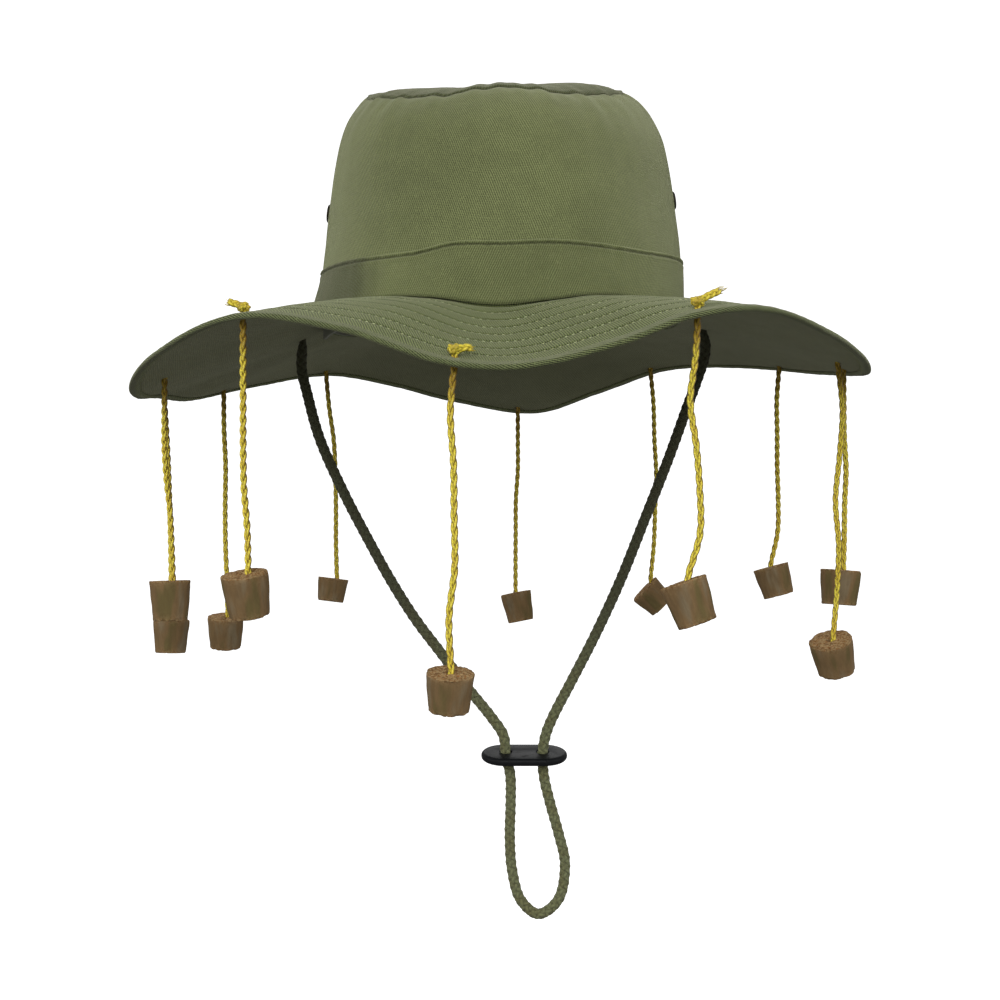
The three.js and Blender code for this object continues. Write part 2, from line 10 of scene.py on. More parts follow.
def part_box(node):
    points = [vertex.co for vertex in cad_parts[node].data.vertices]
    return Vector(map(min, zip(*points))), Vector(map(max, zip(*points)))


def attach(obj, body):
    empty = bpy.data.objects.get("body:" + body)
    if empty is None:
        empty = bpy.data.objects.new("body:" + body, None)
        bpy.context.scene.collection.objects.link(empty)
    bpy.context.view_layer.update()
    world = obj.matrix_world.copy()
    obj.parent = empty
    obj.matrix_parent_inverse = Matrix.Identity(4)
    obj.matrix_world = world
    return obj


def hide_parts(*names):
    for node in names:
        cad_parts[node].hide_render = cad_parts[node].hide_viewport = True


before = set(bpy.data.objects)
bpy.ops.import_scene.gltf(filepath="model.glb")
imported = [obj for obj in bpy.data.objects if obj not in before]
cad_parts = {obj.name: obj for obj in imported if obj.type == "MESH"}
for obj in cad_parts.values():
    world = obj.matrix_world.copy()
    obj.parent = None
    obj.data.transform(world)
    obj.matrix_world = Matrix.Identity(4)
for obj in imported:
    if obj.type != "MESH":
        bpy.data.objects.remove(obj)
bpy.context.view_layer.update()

# A soft bush hat with twelve corks on strings round its brim and a chin cord, in metres, +Z up.
# The front of the hat faces -Y. A bearing is an angle round the hat in degrees: 0 at the front,
# 90 at the wearer's left, which is +X.

bl_info = {
    "name": "Cork Hat",
    "version": (1, 0, 0),
    "blender": (4, 5, 0),
    "location": "View3D > Sidebar > Cork Hat",
    "description": "Builds a soft bush hat with corks on strings and a chin cord",
    "category": "Object",
}

MM = 0.001
BODY = "root"
UP = np.array((0.0, 0.0, 1.0))
SHARP = math.radians(50)
CURVE_STEPS = 24

# How the crown wall rounds in and strays sideways: rise, inset and sway as shares of the crown's
# height, of its inset from brim seam to tip seam and of its sway
CROWN_PROFILE = [
    (0, 0, 0), (0.26, 0.045, 0.4), (0.52, 0.165, 0.4), (0.76, 0.34, 0.18),
    (0.87, 0.52, -0.15), (0.95, 0.76, -0.36), (1, 1, -1),
]

# Bearing, and how far the tip seam sinks below the crown's height as a share of its dip
TIP_SEAM = [
    (-150, 0.88), (-120, 0.5), (-90, 0.08), (-75, 0.42), (-62, 0.62), (-45, 0.9), (-33, 1.03),
    (-18, 1.1), (-7, 0.98), (12, 0.93), (27, 0.97), (42, 0.84), (60, 0.54), (75, 0.24),
    (90, -0.06), (120, 0.42), (150, 0.85), (180, 0.98),
]

# Bearing, and the height of the band's top edge as a share of the band's height
BAND_EDGE = [
    (-150, 0.96), (-90, 0.9), (-60, 0.86), (-26, 0.85), (-14, 0.96), (0, 0.96), (16, 1),
    (45, 0.98), (78, 1.08), (105, 1.05), (150, 0.98),
]

# Bearing, and how far the brim's edge hangs below the seam as a share of the droop
BRIM_FOLDS = [
    (-170, 0.78), (-158, 0.53), (-145, 0.39), (-128, 0.645), (-110, 0.945), (-98, 0.96),
    (-87, 1.01), (-74, 0.93), (-56, 0.63), (-36, 0.31), (-20, 0.52), (-7, 0.9), (3, 0.95),
    (15, 0.68), (25, 0.35), (37, 0.22), (52, 0.415), (65, 0.6), (80, 0.71), (105, 0.57),
    (130, 0.32), (146, 0.3), (160, 0.66), (173, 1),
]

# The corks and their strings. Inset, drop, girth and tall are shares of the string's inset from
# the brim's edge, its length and the cork's widths and height. Lean and pitch turn the cork, in
# degrees, and seat is how far from the middle of its top face the string goes in, in
# millimetres. Tail is the bearing, rise and share of length of the knot's tail. Sway lists how
# far the string strays along X at even steps from the brim to the cork, in millimetres.
CORKS = [
    dict(bearing=-5.8, inset=1, drop=1.05, girth=0.99, tall=0.94, lean=-3, pitch=11, seat=0.3,
         tail=(90, 5, 0.85), sway=(0, -1.5, -0.4, -0.2, 0, -2, -1.2)),
    dict(bearing=27.1, inset=1, drop=0.93, girth=1.01, tall=1.08, lean=19, pitch=-4, seat=1.9,
         tail=(100, 26, 1.3), sway=(0, -0.8, -2.7, -0.6, 0.7, 0.8, -3.6)),
    dict(bearing=79.5, inset=1.75, drop=1.163, girth=1.11, tall=1.07, lean=14, pitch=19, seat=1.2,
         tail=(-90, 20, 0.9), sway=(0, 2, 0.8, -1, 0.4, -0.4, -2)),
    dict(bearing=89, inset=1, drop=0.878, girth=1.07, tall=1.06, lean=-4, pitch=-4, seat=1.2,
         tail=(170, 20, 1), sway=(0, 0.1, 0.3, 1.1, 0.5, 0.3, -0.1)),
    dict(bearing=115.8, inset=1, drop=0.97, girth=1.04, tall=1.02, lean=15, pitch=-5, seat=0,
         tail=(190, 20, 1), sway=(0, -1.2, -1, -1, -0.5, -0.8, -4.3)),
    dict(bearing=148.1, inset=1, drop=1.13, girth=1.04, tall=0.92, lean=46, pitch=0, seat=5,
         tail=(65, 20, 1), sway=(0, 1.7, 2.2, 3.2, 2.6, 1.9, 0.1)),
    dict(bearing=176.3, inset=1, drop=1.005, girth=1, tall=1.1, lean=11, pitch=-6, seat=0,
         tail=(255, 20, 1), sway=(0, 0, 0, -1.1, -1.2, -1.3, -1.3)),
    dict(bearing=-142.8, inset=1, drop=1.085, girth=0.96, tall=0.85, lean=-7, pitch=-5, seat=1.9,
         tail=(-60, 20, 1), sway=(0, 1.6, 4.2, 5.1, 5.4, 5.4, 5.9)),
    dict(bearing=-116.7, inset=1, drop=1.1, girth=1.06, tall=1.08, lean=-2, pitch=8, seat=1,
         tail=(200, 20, 1), sway=(0, 0.1, 0.9, 0.7, 0.8, 1.5, 2)),
    dict(bearing=-94, inset=1, drop=1.015, girth=0.97, tall=1.03, lean=-1, pitch=-4, seat=0,
         tail=(185, 20, 1), sway=(0, 1.1, 2, 2.6, 3, 3.3, 3.4)),
    dict(bearing=-76, inset=1.9, drop=0.838, girth=1.02, tall=1.16, lean=1.5, pitch=-3, seat=1.3,
         tail=(90, 20, 0.9), sway=(0, -0.1, -0.1, 0.8, 2.4, 3.1, 3.6)),
    dict(bearing=-37.5, inset=1, drop=0.914, girth=1.04, tall=1.1, lean=6, pitch=9, seat=1.5,
         tail=(-95, 19, 0.85), sway=(0, 0, 0, 0, 0.3, 1.5, 1.9)),
]

# The chin cord's route as x and z in millimetres, from under the brim at -X through the slider,
# round its loop and up to the brim at +X, and the bearing and reach of each end
CORD_ENDS = [(-90, 0.1), (90, 0.135)]
CORD_ROUTE = [
    (-91, -19.4), (-88.3, -31.7), (-82.8, -51.5), (-71.6, -76.7), (-60.6, -97.8),
    (-49.6, -117.6), (-38.5, -135), (-27.5, -149.5), (-14.5, -166.5), (-3.6, -180), (1.6, -188),
    (2.7, -197), (4.7, -206), (4.9, -218), (4.5, -235), (5.6, -250), (9.6, -263.5),
    (17.6, -269.8), (26.6, -263.4), (29.8, -247), (26.9, -233), (23, -219), (20.2, -207),
    (19.5, -197), (21, -187.6), (24.2, -179.5), (32.8, -163), (43.9, -141.4), (55.1, -117.1),
    (66.1, -89.5), (77.1, -61.5), (85.6, -38), (90.4, -25), (93.9, -14), (94.2, -8.5),
]

# The CAD nodes of the vent eyelets in the crown, and the bearing of each
VENTS = {"eyelet_left": 90, "eyelet_right": -90}

# Rows of stitches on the brim, as shares of its reach from the crown to its edge
BRIM_STITCH_ROWS = [0.118, 0.235, 0.353, 0.47, 0.588, 0.706, 0.82]


def length(name, description, default):
    """A size of the hat, shown in the scene's units."""
    return bpy.props.FloatProperty(
        name=name, description=description, default=default, unit="LENGTH", subtype="DISTANCE"
    )


def colour(name, description, *rgb):
    """A colour of the hat, given as it looks on a screen and kept as light."""
    return bpy.props.FloatVectorProperty(
        name=name,
        description=description,
        default=[((c / 255 + 0.055) / 1.055) ** 2.4 for c in rgb],
        subtype="COLOR",
        size=3,
        min=0,
        max=1,
    )


class HatSizes(bpy.types.PropertyGroup):
    """The sizes that the cloth, cords and corks are made to."""

    crown_half_width: length(
        "Crown half width", "Half the crown's width at the brim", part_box("crown_side")[1].x
    )
    crown_half_length: length(
        "Crown half length", "Half the crown's length at the brim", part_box("crown_side")[1].y
    )
    crown_height: length("Crown height", "Height of the crown above the brim seam", 105.5 * MM)
    crown_sway: length("Crown sway", "How far the soft crown leans to one side", 2.2 * MM)
    crown_wall: length("Crown cloth", "Thickness of the crown's cloth", 1.6 * MM)
    tip_half_width: length(
        "Tip half width",
        "Half the width of the crown's top panel",
        (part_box("crown_tip")[1].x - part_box("crown_tip")[0].x) / 2,
    )
    tip_half_length: length(
        "Tip half length", "Half the length of the crown's top panel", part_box("crown_tip")[1].y
    )
    tip_dip: length("Tip dip", "How far the tip seam sinks at front and back", 14 * MM)
    tip_wall: length("Tip cloth", "Thickness of the top panel's cloth", 1.4 * MM)
    band_height: length("Band height", "Height of the band round the crown", 25.5 * MM)
    band_wall: length("Band cloth", "Thickness of the band's cloth", 1.2 * MM)
    sweatband_height: length(
        "Sweatband height", "Top of the sweatband above the seam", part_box("sweatband")[1].z
    )
    sweatband_drop: length("Sweatband drop", "How far the sweatband hangs under the seam", 3 * MM)
    brim_half_width: length(
        "Brim half width", "Half the brim's width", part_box("brim_binding")[1].x
    )
    brim_half_length: length(
        "Brim half length", "Half the brim's length", -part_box("brim_binding")[0].y
    )
    brim_wall: length("Brim cloth", "Thickness of the brim", 1.2 * MM)
    brim_droop: length("Brim droop", "How far the brim's folds hang down", 32 * MM)
    brim_lift: length("Brim lift", "How far the brim seam rises at the high folds", 6.5 * MM)
    binding_flap: length("Binding flap", "Width of the binding on each side", 5 * MM)
    binding_wall: length("Binding cloth", "Thickness of the binding's cloth", 0.5 * MM)
    string_length: length("String length", "Usual length of a string below the brim", 104 * MM)
    string_width: length("String width", "Width of a braided string", 2.7 * MM)
    string_inset: length("String inset", "How far the strings hang inside the edge", 8 * MM)
    cork_top: length("Cork top", "Usual width of a cork's top", 17.5 * MM)
    cork_bottom: length("Cork foot", "Usual width of a cork's foot", 14.5 * MM)
    cork_height: length("Cork height", "Usual height of a cork", 15 * MM)
    cord_width: length("Chin cord width", "Width of the chin cord", 4.7 * MM)


class HatColours(bpy.types.PropertyGroup):
    """The colours of the cloth, yarn, cork and plastic."""

    twill: colour("Twill", "Cloth of crown and band", 126, 133, 88)
    # Darker than the crown's twill as painted shade on the top panel, which faces the light from
    # above.
    tip_twill_painted_shade: colour("Tip twill", "Cloth of the crown's top panel", 82, 88, 56)
    brim_twill: colour("Brim twill", "Cloth of the brim", 102, 113, 64)
    binding: colour("Binding", "Strip round the brim's edge", 100, 108, 70)
    underside: colour("Underside", "Cloth under the brim", 106, 109, 79)
    lining: colour("Lining", "Sweatband inside the opening", 108, 111, 88)
    thread: colour("Thread", "Stitches on the brim", 196, 204, 154)
    yarn: colour("Yarn", "Strings and knots", 246, 222, 72)
    cork: colour("Cork", "Sides of the corks", 129, 104, 70)
    cork_end: colour("Cork end", "Rough ends of the corks", 192, 162, 116)
    cord: colour("Chin cord", "Braid of the chin cord", 121, 125, 88)
    plastic: colour("Plastic", "Slider on the chin cord", 25, 26, 28)
    metal: colour("Metal", "Vent eyelets", 58, 55, 44)


def ease(share):
    """0 to 1 with a soft start and end."""
    share = np.clip(share, 0, 1)
    return share * share * (3 - 2 * share)


def bell(offset, width):
    """1 at no offset, falling softly to 0 past a width."""
    return np.exp(-((offset / width) ** 2))


def blend_between(low, high, share):
    return low + (high - low) * share


def unit(vectors):
    return vectors / np.maximum(np.linalg.norm(vectors, axis=-1, keepdims=True), 1e-12)


def smooth_way(start, leaving, end, arriving, t):
    """The way from start to end as t goes from 0 to 1, with the rates at which it does so."""
    return (
        start * (1 + 2 * t) * (1 - t) ** 2 + leaving * t * (1 - t) ** 2
        + end * t**2 * (3 - 2 * t) + arriving * t**2 * (t - 1)
    )


def table_value(rows, column, at):
    """A column of a table on a smooth curve through its rows, whose first column is the place."""
    rows = np.array(rows, float)
    place, value = rows[:, 0], rows[:, column]
    slope = np.gradient(value, place)
    slope[1:-1] = (value[2:] - value[:-2]) / (place[2:] - place[:-2])
    at = np.asarray(at, float)
    i = np.clip(np.searchsorted(place, at, side="right") - 1, 0, len(place) - 2)
    span = place[i + 1] - place[i]
    t = (at - place[i]) / span
    return smooth_way(value[i], slope[i] * span, value[i + 1], slope[i + 1] * span, t)


def round_value(rows, bearing):
    """The value of a table of bearings and values, on a smooth curve that closes round the hat."""
    laps = [(at + turn, value) for turn in (-360, 0, 360) for at, value in rows]
    first = rows[0][0]
    return table_value(laps, 1, (np.asarray(bearing, float) - first) % 360 + first)


def on_ellipse(bearing, half_width, half_length, z):
    angle = np.radians(bearing)
    parts = np.broadcast_arrays(half_width * np.sin(angle), -half_length * np.cos(angle), z)
    return np.stack(parts, axis=-1)


def ellipse_round(half_width, half_length):
    """The length right round an ellipse."""
    return 2 * math.pi * math.sqrt((half_width**2 + half_length**2) / 2)


def soft_noise(points, size, seed=0):
    """Smooth noise from about -1 to 1 at each point, with bumps of the given size."""
    points = np.asarray(points, float)
    flat = points.reshape(-1, 3) / np.asarray(size, float) + 17.3 * seed
    return np.array([noise.noise(Vector(p)) for p in flat]).reshape(points.shape[:-1])


class HatShape:
    """Where the cloth lies, worked out from the hat's sizes and the tables above. Reach is how
    far out on the brim a point lies, and rise how far up the crown wall, both from 0 to 1."""

    gap = 0.3 * MM
    seam_level = 0.85
    cord_below_brim = 1.6 * MM
    cord_sewn_in = 2.4 * MM

    def __init__(self, sizes):
        self.sizes = sizes
        self.brim_width = sizes.brim_half_width - sizes.crown_half_width
        self.crown_round = ellipse_round(sizes.crown_half_width, sizes.crown_half_length)

    def brim_height(self, bearing, reach):
        droop = round_value(BRIM_FOLDS, bearing)
        out = np.maximum(reach, 0)
        lift = self.sizes.brim_lift * (self.seam_level - droop) * (1 - out)
        return lift - self.sizes.brim_droop * droop * out ** (0.85 + 1.2 * (1 - droop))

    def brim_point(self, bearing, reach, depth):
        s = self.sizes
        return on_ellipse(
            bearing,
            blend_between(s.crown_half_width, s.brim_half_width, reach),
            blend_between(s.crown_half_length, s.brim_half_length, reach),
            self.brim_height(bearing, reach) - depth,
        )

    def reach_inside(self, distance):
        return 1 - distance / self.brim_width

    def crown_foot(self, bearing):
        return self.brim_height(bearing, 0) + self.gap

    def tip_seam_height(self, bearing):
        angle = np.radians(bearing)
        pull = 0.3 * MM * np.sin(23 * angle) + 0.22 * MM * np.sin(41 * angle + 1)
        dip = self.sizes.tip_dip * round_value(TIP_SEAM, bearing)
        return self.sizes.crown_height - dip + pull

    def crown_point(self, bearing, rise):
        s = self.sizes
        within = np.clip(rise, 0, 1)
        inset = table_value(CROWN_PROFILE, 1, within)
        point = on_ellipse(
            bearing,
            blend_between(s.crown_half_width, s.tip_half_width, inset),
            blend_between(s.crown_half_length, s.tip_half_length, inset),
            blend_between(self.crown_foot(bearing), self.tip_seam_height(bearing), rise),
        )
        point[..., 0] += s.crown_sway * table_value(CROWN_PROFILE, 2, within)
        return point

    def crown_rise(self, bearing, z):
        foot = self.crown_foot(bearing)
        return (z - foot) / (self.tip_seam_height(bearing) - foot)

    def ground_normal(self, bearing):
        """The level direction straight out of the crown."""
        angle = np.radians(bearing)
        x = self.sizes.crown_half_length * np.sin(angle)
        y = -self.sizes.crown_half_width * np.cos(angle)
        return unit(np.stack(np.broadcast_arrays(x, y, 0.0), axis=-1))

    def beside_crown(self, bearing, z, outward):
        """A point at a height and a distance out from the crown wall."""
        point = self.crown_point(bearing, self.crown_rise(bearing, z))
        point += self.ground_normal(bearing) * np.asarray(outward)[..., None]
        point[..., 2] = z
        return point

    def string_hole(self, cork, depth):
        reach = self.reach_inside(self.sizes.string_inset * cork["inset"])
        return self.brim_point(cork["bearing"], reach, depth)

    def string_route(self, cork):
        """From inside the brim's cloth down to just above the cork."""
        s = self.sizes
        top = self.string_hole(cork, s.brim_wall + self.gap)
        slant = math.hypot(*(math.tan(math.radians(cork[turn])) for turn in ("lean", "pitch")))
        drop = s.string_length * cork["drop"] - self.gap - slant * s.string_width / 2
        steps = np.linspace(0, drop, len(cork["sway"]))
        return [top + np.array((stray * MM, 0, -down)) for stray, down in zip(cork["sway"], steps)]

    def cork_place(self, cork):
        """The matrix that puts a cork's own frame, with its top face in the middle, in place."""
        route = self.string_route(cork)
        x, y, _ = route[-1]
        z = route[0][2] - self.sizes.string_length * cork["drop"]
        pitch = Matrix.Rotation(math.radians(cork["pitch"]), 4, "X")
        lean = Matrix.Rotation(-math.radians(cork["lean"]), 4, "Y")
        seat = Matrix.Translation((-cork["seat"] * MM, 0, 0))
        return Matrix.Translation((x, y, z)) @ (pitch @ lean) @ seat

    def chin_cord_route(self):
        depth = self.sizes.brim_wall + self.cord_below_brim
        left, right = (self.brim_point(bearing, reach, depth) for bearing, reach in CORD_ENDS)
        middle = [np.array((x * MM, 0, z * MM)) for x, z in CORD_ROUTE]
        sewn = UP * self.cord_sewn_in
        return [left + sewn, left, *middle, right, right + sewn]


def hat_of(context):
    """The hat's shape, sizes and colours."""
    sizes = context.scene.hat_sizes
    return HatShape(sizes), sizes, context.scene.hat_colours


def mend_mesh(mesh, merge=0.0, bridge=False):
    """Joins a mesh's open rims, merges its points that lie together and turns its faces out."""
    made = bmesh.new()
    made.from_mesh(mesh)
    if bridge:
        bmesh.ops.bridge_loops(made, edges=[edge for edge in made.edges if edge.is_boundary])
    if merge:
        bmesh.ops.remove_doubles(made, verts=made.verts, dist=merge)
    bmesh.ops.recalc_face_normals(made, faces=made.faces)
    made.to_mesh(mesh)
    made.free()


class Shape:
    """Points, faces and the faces' cloth coordinates, gathered into one mesh."""

    def __init__(self):
        self.points = []
        self.faces = []
        self.coords = []
        self.count = 0

    def grid(self, points, coords, closed=True, caps=False):
        """A grid of rings. Coords has one more column, and one more row where the rows close."""
        points = np.asarray(points, float)
        rows, columns = points.shape[:2]
        last = rows if closed else rows - 1
        i, j = (index.ravel() for index in np.indices((last, columns)))
        down, right = (i + 1) % rows, (j + 1) % columns
        corners = np.stack(
            (i * columns + j, down * columns + j, down * columns + right, i * columns + right), 1
        )
        self.faces += (corners + self.count).tolist()
        corner_coords = np.stack(
            (coords[i, j], coords[i + 1, j], coords[i + 1, j + 1], coords[i, j + 1]), 1
        )
        self.coords.append(corner_coords.reshape(-1, 2))
        for row in (0, rows - 1) if caps else ():
            self.faces.append((np.arange(columns) + row * columns + self.count).tolist())
            self.coords.append(coords[row, :columns].reshape(-1, 2))
        self.points.append(points.reshape(-1, 3))
        self.count += rows * columns

    def stamp(self, points, faces, places):
        """A small mesh repeated by each 3 x 4 matrix."""
        turned = np.einsum("nij,pj->npi", places[:, :, :3], points) + places[:, None, :, 3]
        offsets = np.arange(len(places))[:, None, None] * len(points) + self.count
        self.faces += (np.array(faces)[None] + offsets).reshape(-1, len(faces[0])).tolist()
        self.coords.append(np.zeros((len(places) * len(faces) * len(faces[0]), 2)))
        self.points.append(turned.reshape(-1, 3))
        self.count += len(places) * len(points)

    def piece(self, name):
        """The gathered shape as a new object, its doubles merged and its faces outward."""
        mesh = bpy.data.meshes.new(name)
        mesh.from_pydata(np.concatenate(self.points).tolist(), [], self.faces)
        layer = mesh.uv_layers.new(name="UVMap")
        layer.data.foreach_set("uv", np.concatenate(self.coords).ravel().astype(np.float32))
        mend_mesh(mesh, merge=0.002 * MM)
        mesh.shade_smooth()
        piece = bpy.data.objects.new(name, mesh)
        bpy.context.scene.collection.objects.link(piece)
        return piece


def bearings(count):
    """Even bearings that start at the back of the hat, with the first one again at the end."""
    return np.linspace(-180, 180, count + 1)


def sheet_piece(name, outer, inner, coords):
    """Closed cloth between an outer and an inner side. Each is a grid whose rows run up or out
    and stand side by side round the hat, the last where the first is."""
    points = np.concatenate((outer, inner[:, ::-1]), axis=1)[:-1]
    shape = Shape()
    shape.grid(points, np.concatenate((coords, coords[:, ::-1], coords[:, :1]), axis=1))
    return shape.piece(name)


def wrap_coords(at, rows, circumference):
    """Cloth coordinates of a wall: round the hat from the front, and up the rows."""
    around = at[:, None] / 360 * circumference
    return np.stack(np.broadcast_arrays(around, rows), axis=-1)


def run_along(line):
    """How far along a line, or along each row of a grid, each of its points lies."""
    steps = np.linalg.norm(np.diff(line, axis=-2), axis=-1)
    start = np.zeros((*steps.shape[:-1], 1))
    return np.concatenate((start, np.cumsum(steps, axis=-1)), axis=-1)


def vectors_at(at, run, vectors):
    """The points or directions that a line has at some distances along it."""
    return np.stack([np.interp(at, run, vectors[:, k]) for k in range(3)], axis=1)


def even_points(points, step):
    """The same line with points at even distances."""
    run = run_along(points)
    count = max(int(round(run[-1] / step)), 2)
    return vectors_at(np.linspace(0, run[-1], count + 1), run, points)


def smooth_curve(points, step):
    """Even points along the centripetal curve through the given points."""
    points = [np.asarray(p, float) for p in points]
    points = [2 * points[0] - points[1], *points, 2 * points[-1] - points[-2]]
    t = np.linspace(0, 1, CURVE_STEPS, endpoint=False)[:, None]
    fine = []
    for before, start, end, after in zip(points, points[1:], points[2:], points[3:]):
        pairs = ((before, start), (start, end), (end, after))
        a, b, c = (max(np.linalg.norm(q - p) ** 0.5, 1e-6) for p, q in pairs)
        leaving = (start - before) / a - (end - before) / (a + b) + (end - start) / b
        arriving = (end - start) / b - (after - start) / (b + c) + (after - end) / c
        fine.append(smooth_way(start, leaving * b, end, arriving * b, t))
    return even_points(np.concatenate([*fine, points[-2][None]]), step)


def line_frames(points, first=(0, 1, 0)):
    """Normals that turn as little as they can along a line, and the directions across them."""
    tangents = unit(np.gradient(points, axis=0))
    normals = np.empty_like(points)
    normal = np.asarray(first, float)
    for i, tangent in enumerate(tangents):
        normal = normal - tangent * normal.dot(tangent)
        normal /= np.linalg.norm(normal)
        normals[i] = normal
    return normals, np.cross(tangents, normals)


def add_tube(shape, points, normals, sides, half_wide, half_thick=None):
    """A closed tube along points, thick along its normals and wide across them."""
    tangents = unit(np.gradient(points, axis=0))
    normals = unit(normals - tangents * np.sum(normals * tangents, axis=1, keepdims=True))
    across = np.cross(tangents, normals)
    angle = np.linspace(0, 2 * math.pi, sides + 1)[:-1, None]
    halves = (half_wide, half_wide if half_thick is None else half_thick)
    wide, thick = (np.broadcast_to(half, len(points))[:, None, None] for half in halves)
    rings = points[:, None] + normals[:, None] * np.cos(angle) * thick
    rings = rings + across[:, None] * np.sin(angle) * wide
    around, run = np.meshgrid(np.linspace(0, 1, sides + 1), run_along(points))
    shape.grid(rings, np.stack((around, run), axis=-1), closed=False, caps=True)


def add_plait(shape, line, width, strand, period, sides, phase=0.0, size=1.0, first=(0, 1, 0)):
    """A flat plait of three strands along a line."""
    normals, across = line_frames(line, first)
    swing = (width - strand) / 2
    lift = strand * 0.46
    for k in range(3):
        turn = 2 * math.pi * (run_along(line) / period + k / 3) + phase
        sideways = across * (swing * size * np.sin(turn))[:, None]
        outward = normals * (lift * size * np.sin(2 * turn))[:, None]
        add_tube(shape, line + sideways + outward, normals, sides, strand / 2 * size)


def select_only(piece):
    bpy.ops.object.select_all(action="DESELECT")
    piece.select_set(True)
    bpy.context.view_layer.objects.active = piece


def select_parts(piece, kind, wanted):
    """Opens a piece in edit mode with only its wanted points, edges or faces selected."""
    select_only(piece)
    bpy.ops.object.mode_set(mode="EDIT")
    bpy.ops.mesh.select_mode(type=kind)
    bpy.ops.mesh.select_all(action="DESELECT")
    bpy.ops.object.mode_set(mode="OBJECT")
    mesh = piece.data
    for part in {"VERT": mesh.vertices, "EDGE": mesh.edges, "FACE": mesh.polygons}[kind]:
        part.select = bool(wanted(part))
    bpy.ops.object.mode_set(mode="EDIT")


def add_solid(kind, **values):
    """Adds one of Blender's plain meshes with nothing else selected."""
    bpy.ops.object.select_all(action="DESELECT")
    getattr(bpy.ops.mesh, f"primitive_{kind}_add")(**values)
    return bpy.context.object


def apply_modifier(piece, kind, **values):
    """Adds a modifier, gives it its values and applies it."""
    select_only(piece)
    modifier = piece.modifiers.new(kind.title(), kind)
    for key, value in values.items():
        setattr(modifier, key, value)
    bpy.ops.object.modifier_apply(modifier=modifier.name)


def round_edges(piece, width, segments):
    """Rounds a piece's sharp edges."""
    apply_modifier(
        piece, "BEVEL", width=width, segments=segments, limit_method="ANGLE", angle_limit=SHARP
    )


def cut_away(piece, drill, **values):
    apply_modifier(piece, "BOOLEAN", operation="DIFFERENCE", object=drill, **values)
    bpy.data.objects.remove(drill)


def punch_holes(piece, places, radius, turn=(0, 0, 0)):
    """Cuts a round hole through a cloth at each place."""
    size = {"vertices": 24, "radius": radius, "depth": 10 * MM, "rotation": turn}
    drills = [add_solid("cylinder", location=place, **size) for place in places]
    for drill in drills:
        drill.select_set(True)
    bpy.context.view_layer.objects.active = drills[0]
    bpy.ops.object.join()
    cut_away(piece, bpy.context.object, solver="MANIFOLD")


def place_mesh(piece, matrix):
    """Moves a piece's mesh and leaves its object at the origin."""
    piece.data.transform(matrix @ piece.matrix_world)
    piece.matrix_world = Matrix.Identity(4)


def read_values(parts, key, kind=float):
    """One of the values of all of a mesh's points, corners or faces, three for a point's place."""
    values = np.empty(len(parts) * (3 if key == "co" else 1), kind)
    parts.foreach_get(key, values)
    return values.reshape(-1, 3) if key == "co" else values


def keep_shares(mesh, name, shares):
    """Keeps a share from 0 to 1 for each point under a name that a material can read."""
    attribute = mesh.attributes.new(name, "FLOAT", "POINT")
    attribute.data.foreach_set("value", np.clip(shares, 0, 1).astype(np.float32))


def finish_piece(piece, slot, material, *nodes):
    """Gives a piece its material, and lets it ride and stand for its CAD nodes."""
    piece.data.materials.clear()
    piece.data.materials.append(material)
    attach(piece, BODY)
    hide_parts(*nodes)


def find_socket(node, key):
    """A node's input, by its place as in0, in1 and so on or by its name in small letters."""
    if key[:2] == "in" and key[2:].isdigit():
        return node.inputs[int(key[2:])]
    wanted = key.replace("_", " ").lower()
    return next(s for s in node.inputs if s.name.lower() == wanted and s.enabled)


def tinted(colour, factors):
    """A colour made darker or lighter by a factor, or by one each for red, green and blue."""
    return (*np.minimum(np.multiply(colour[:3], factors), 1), 1)


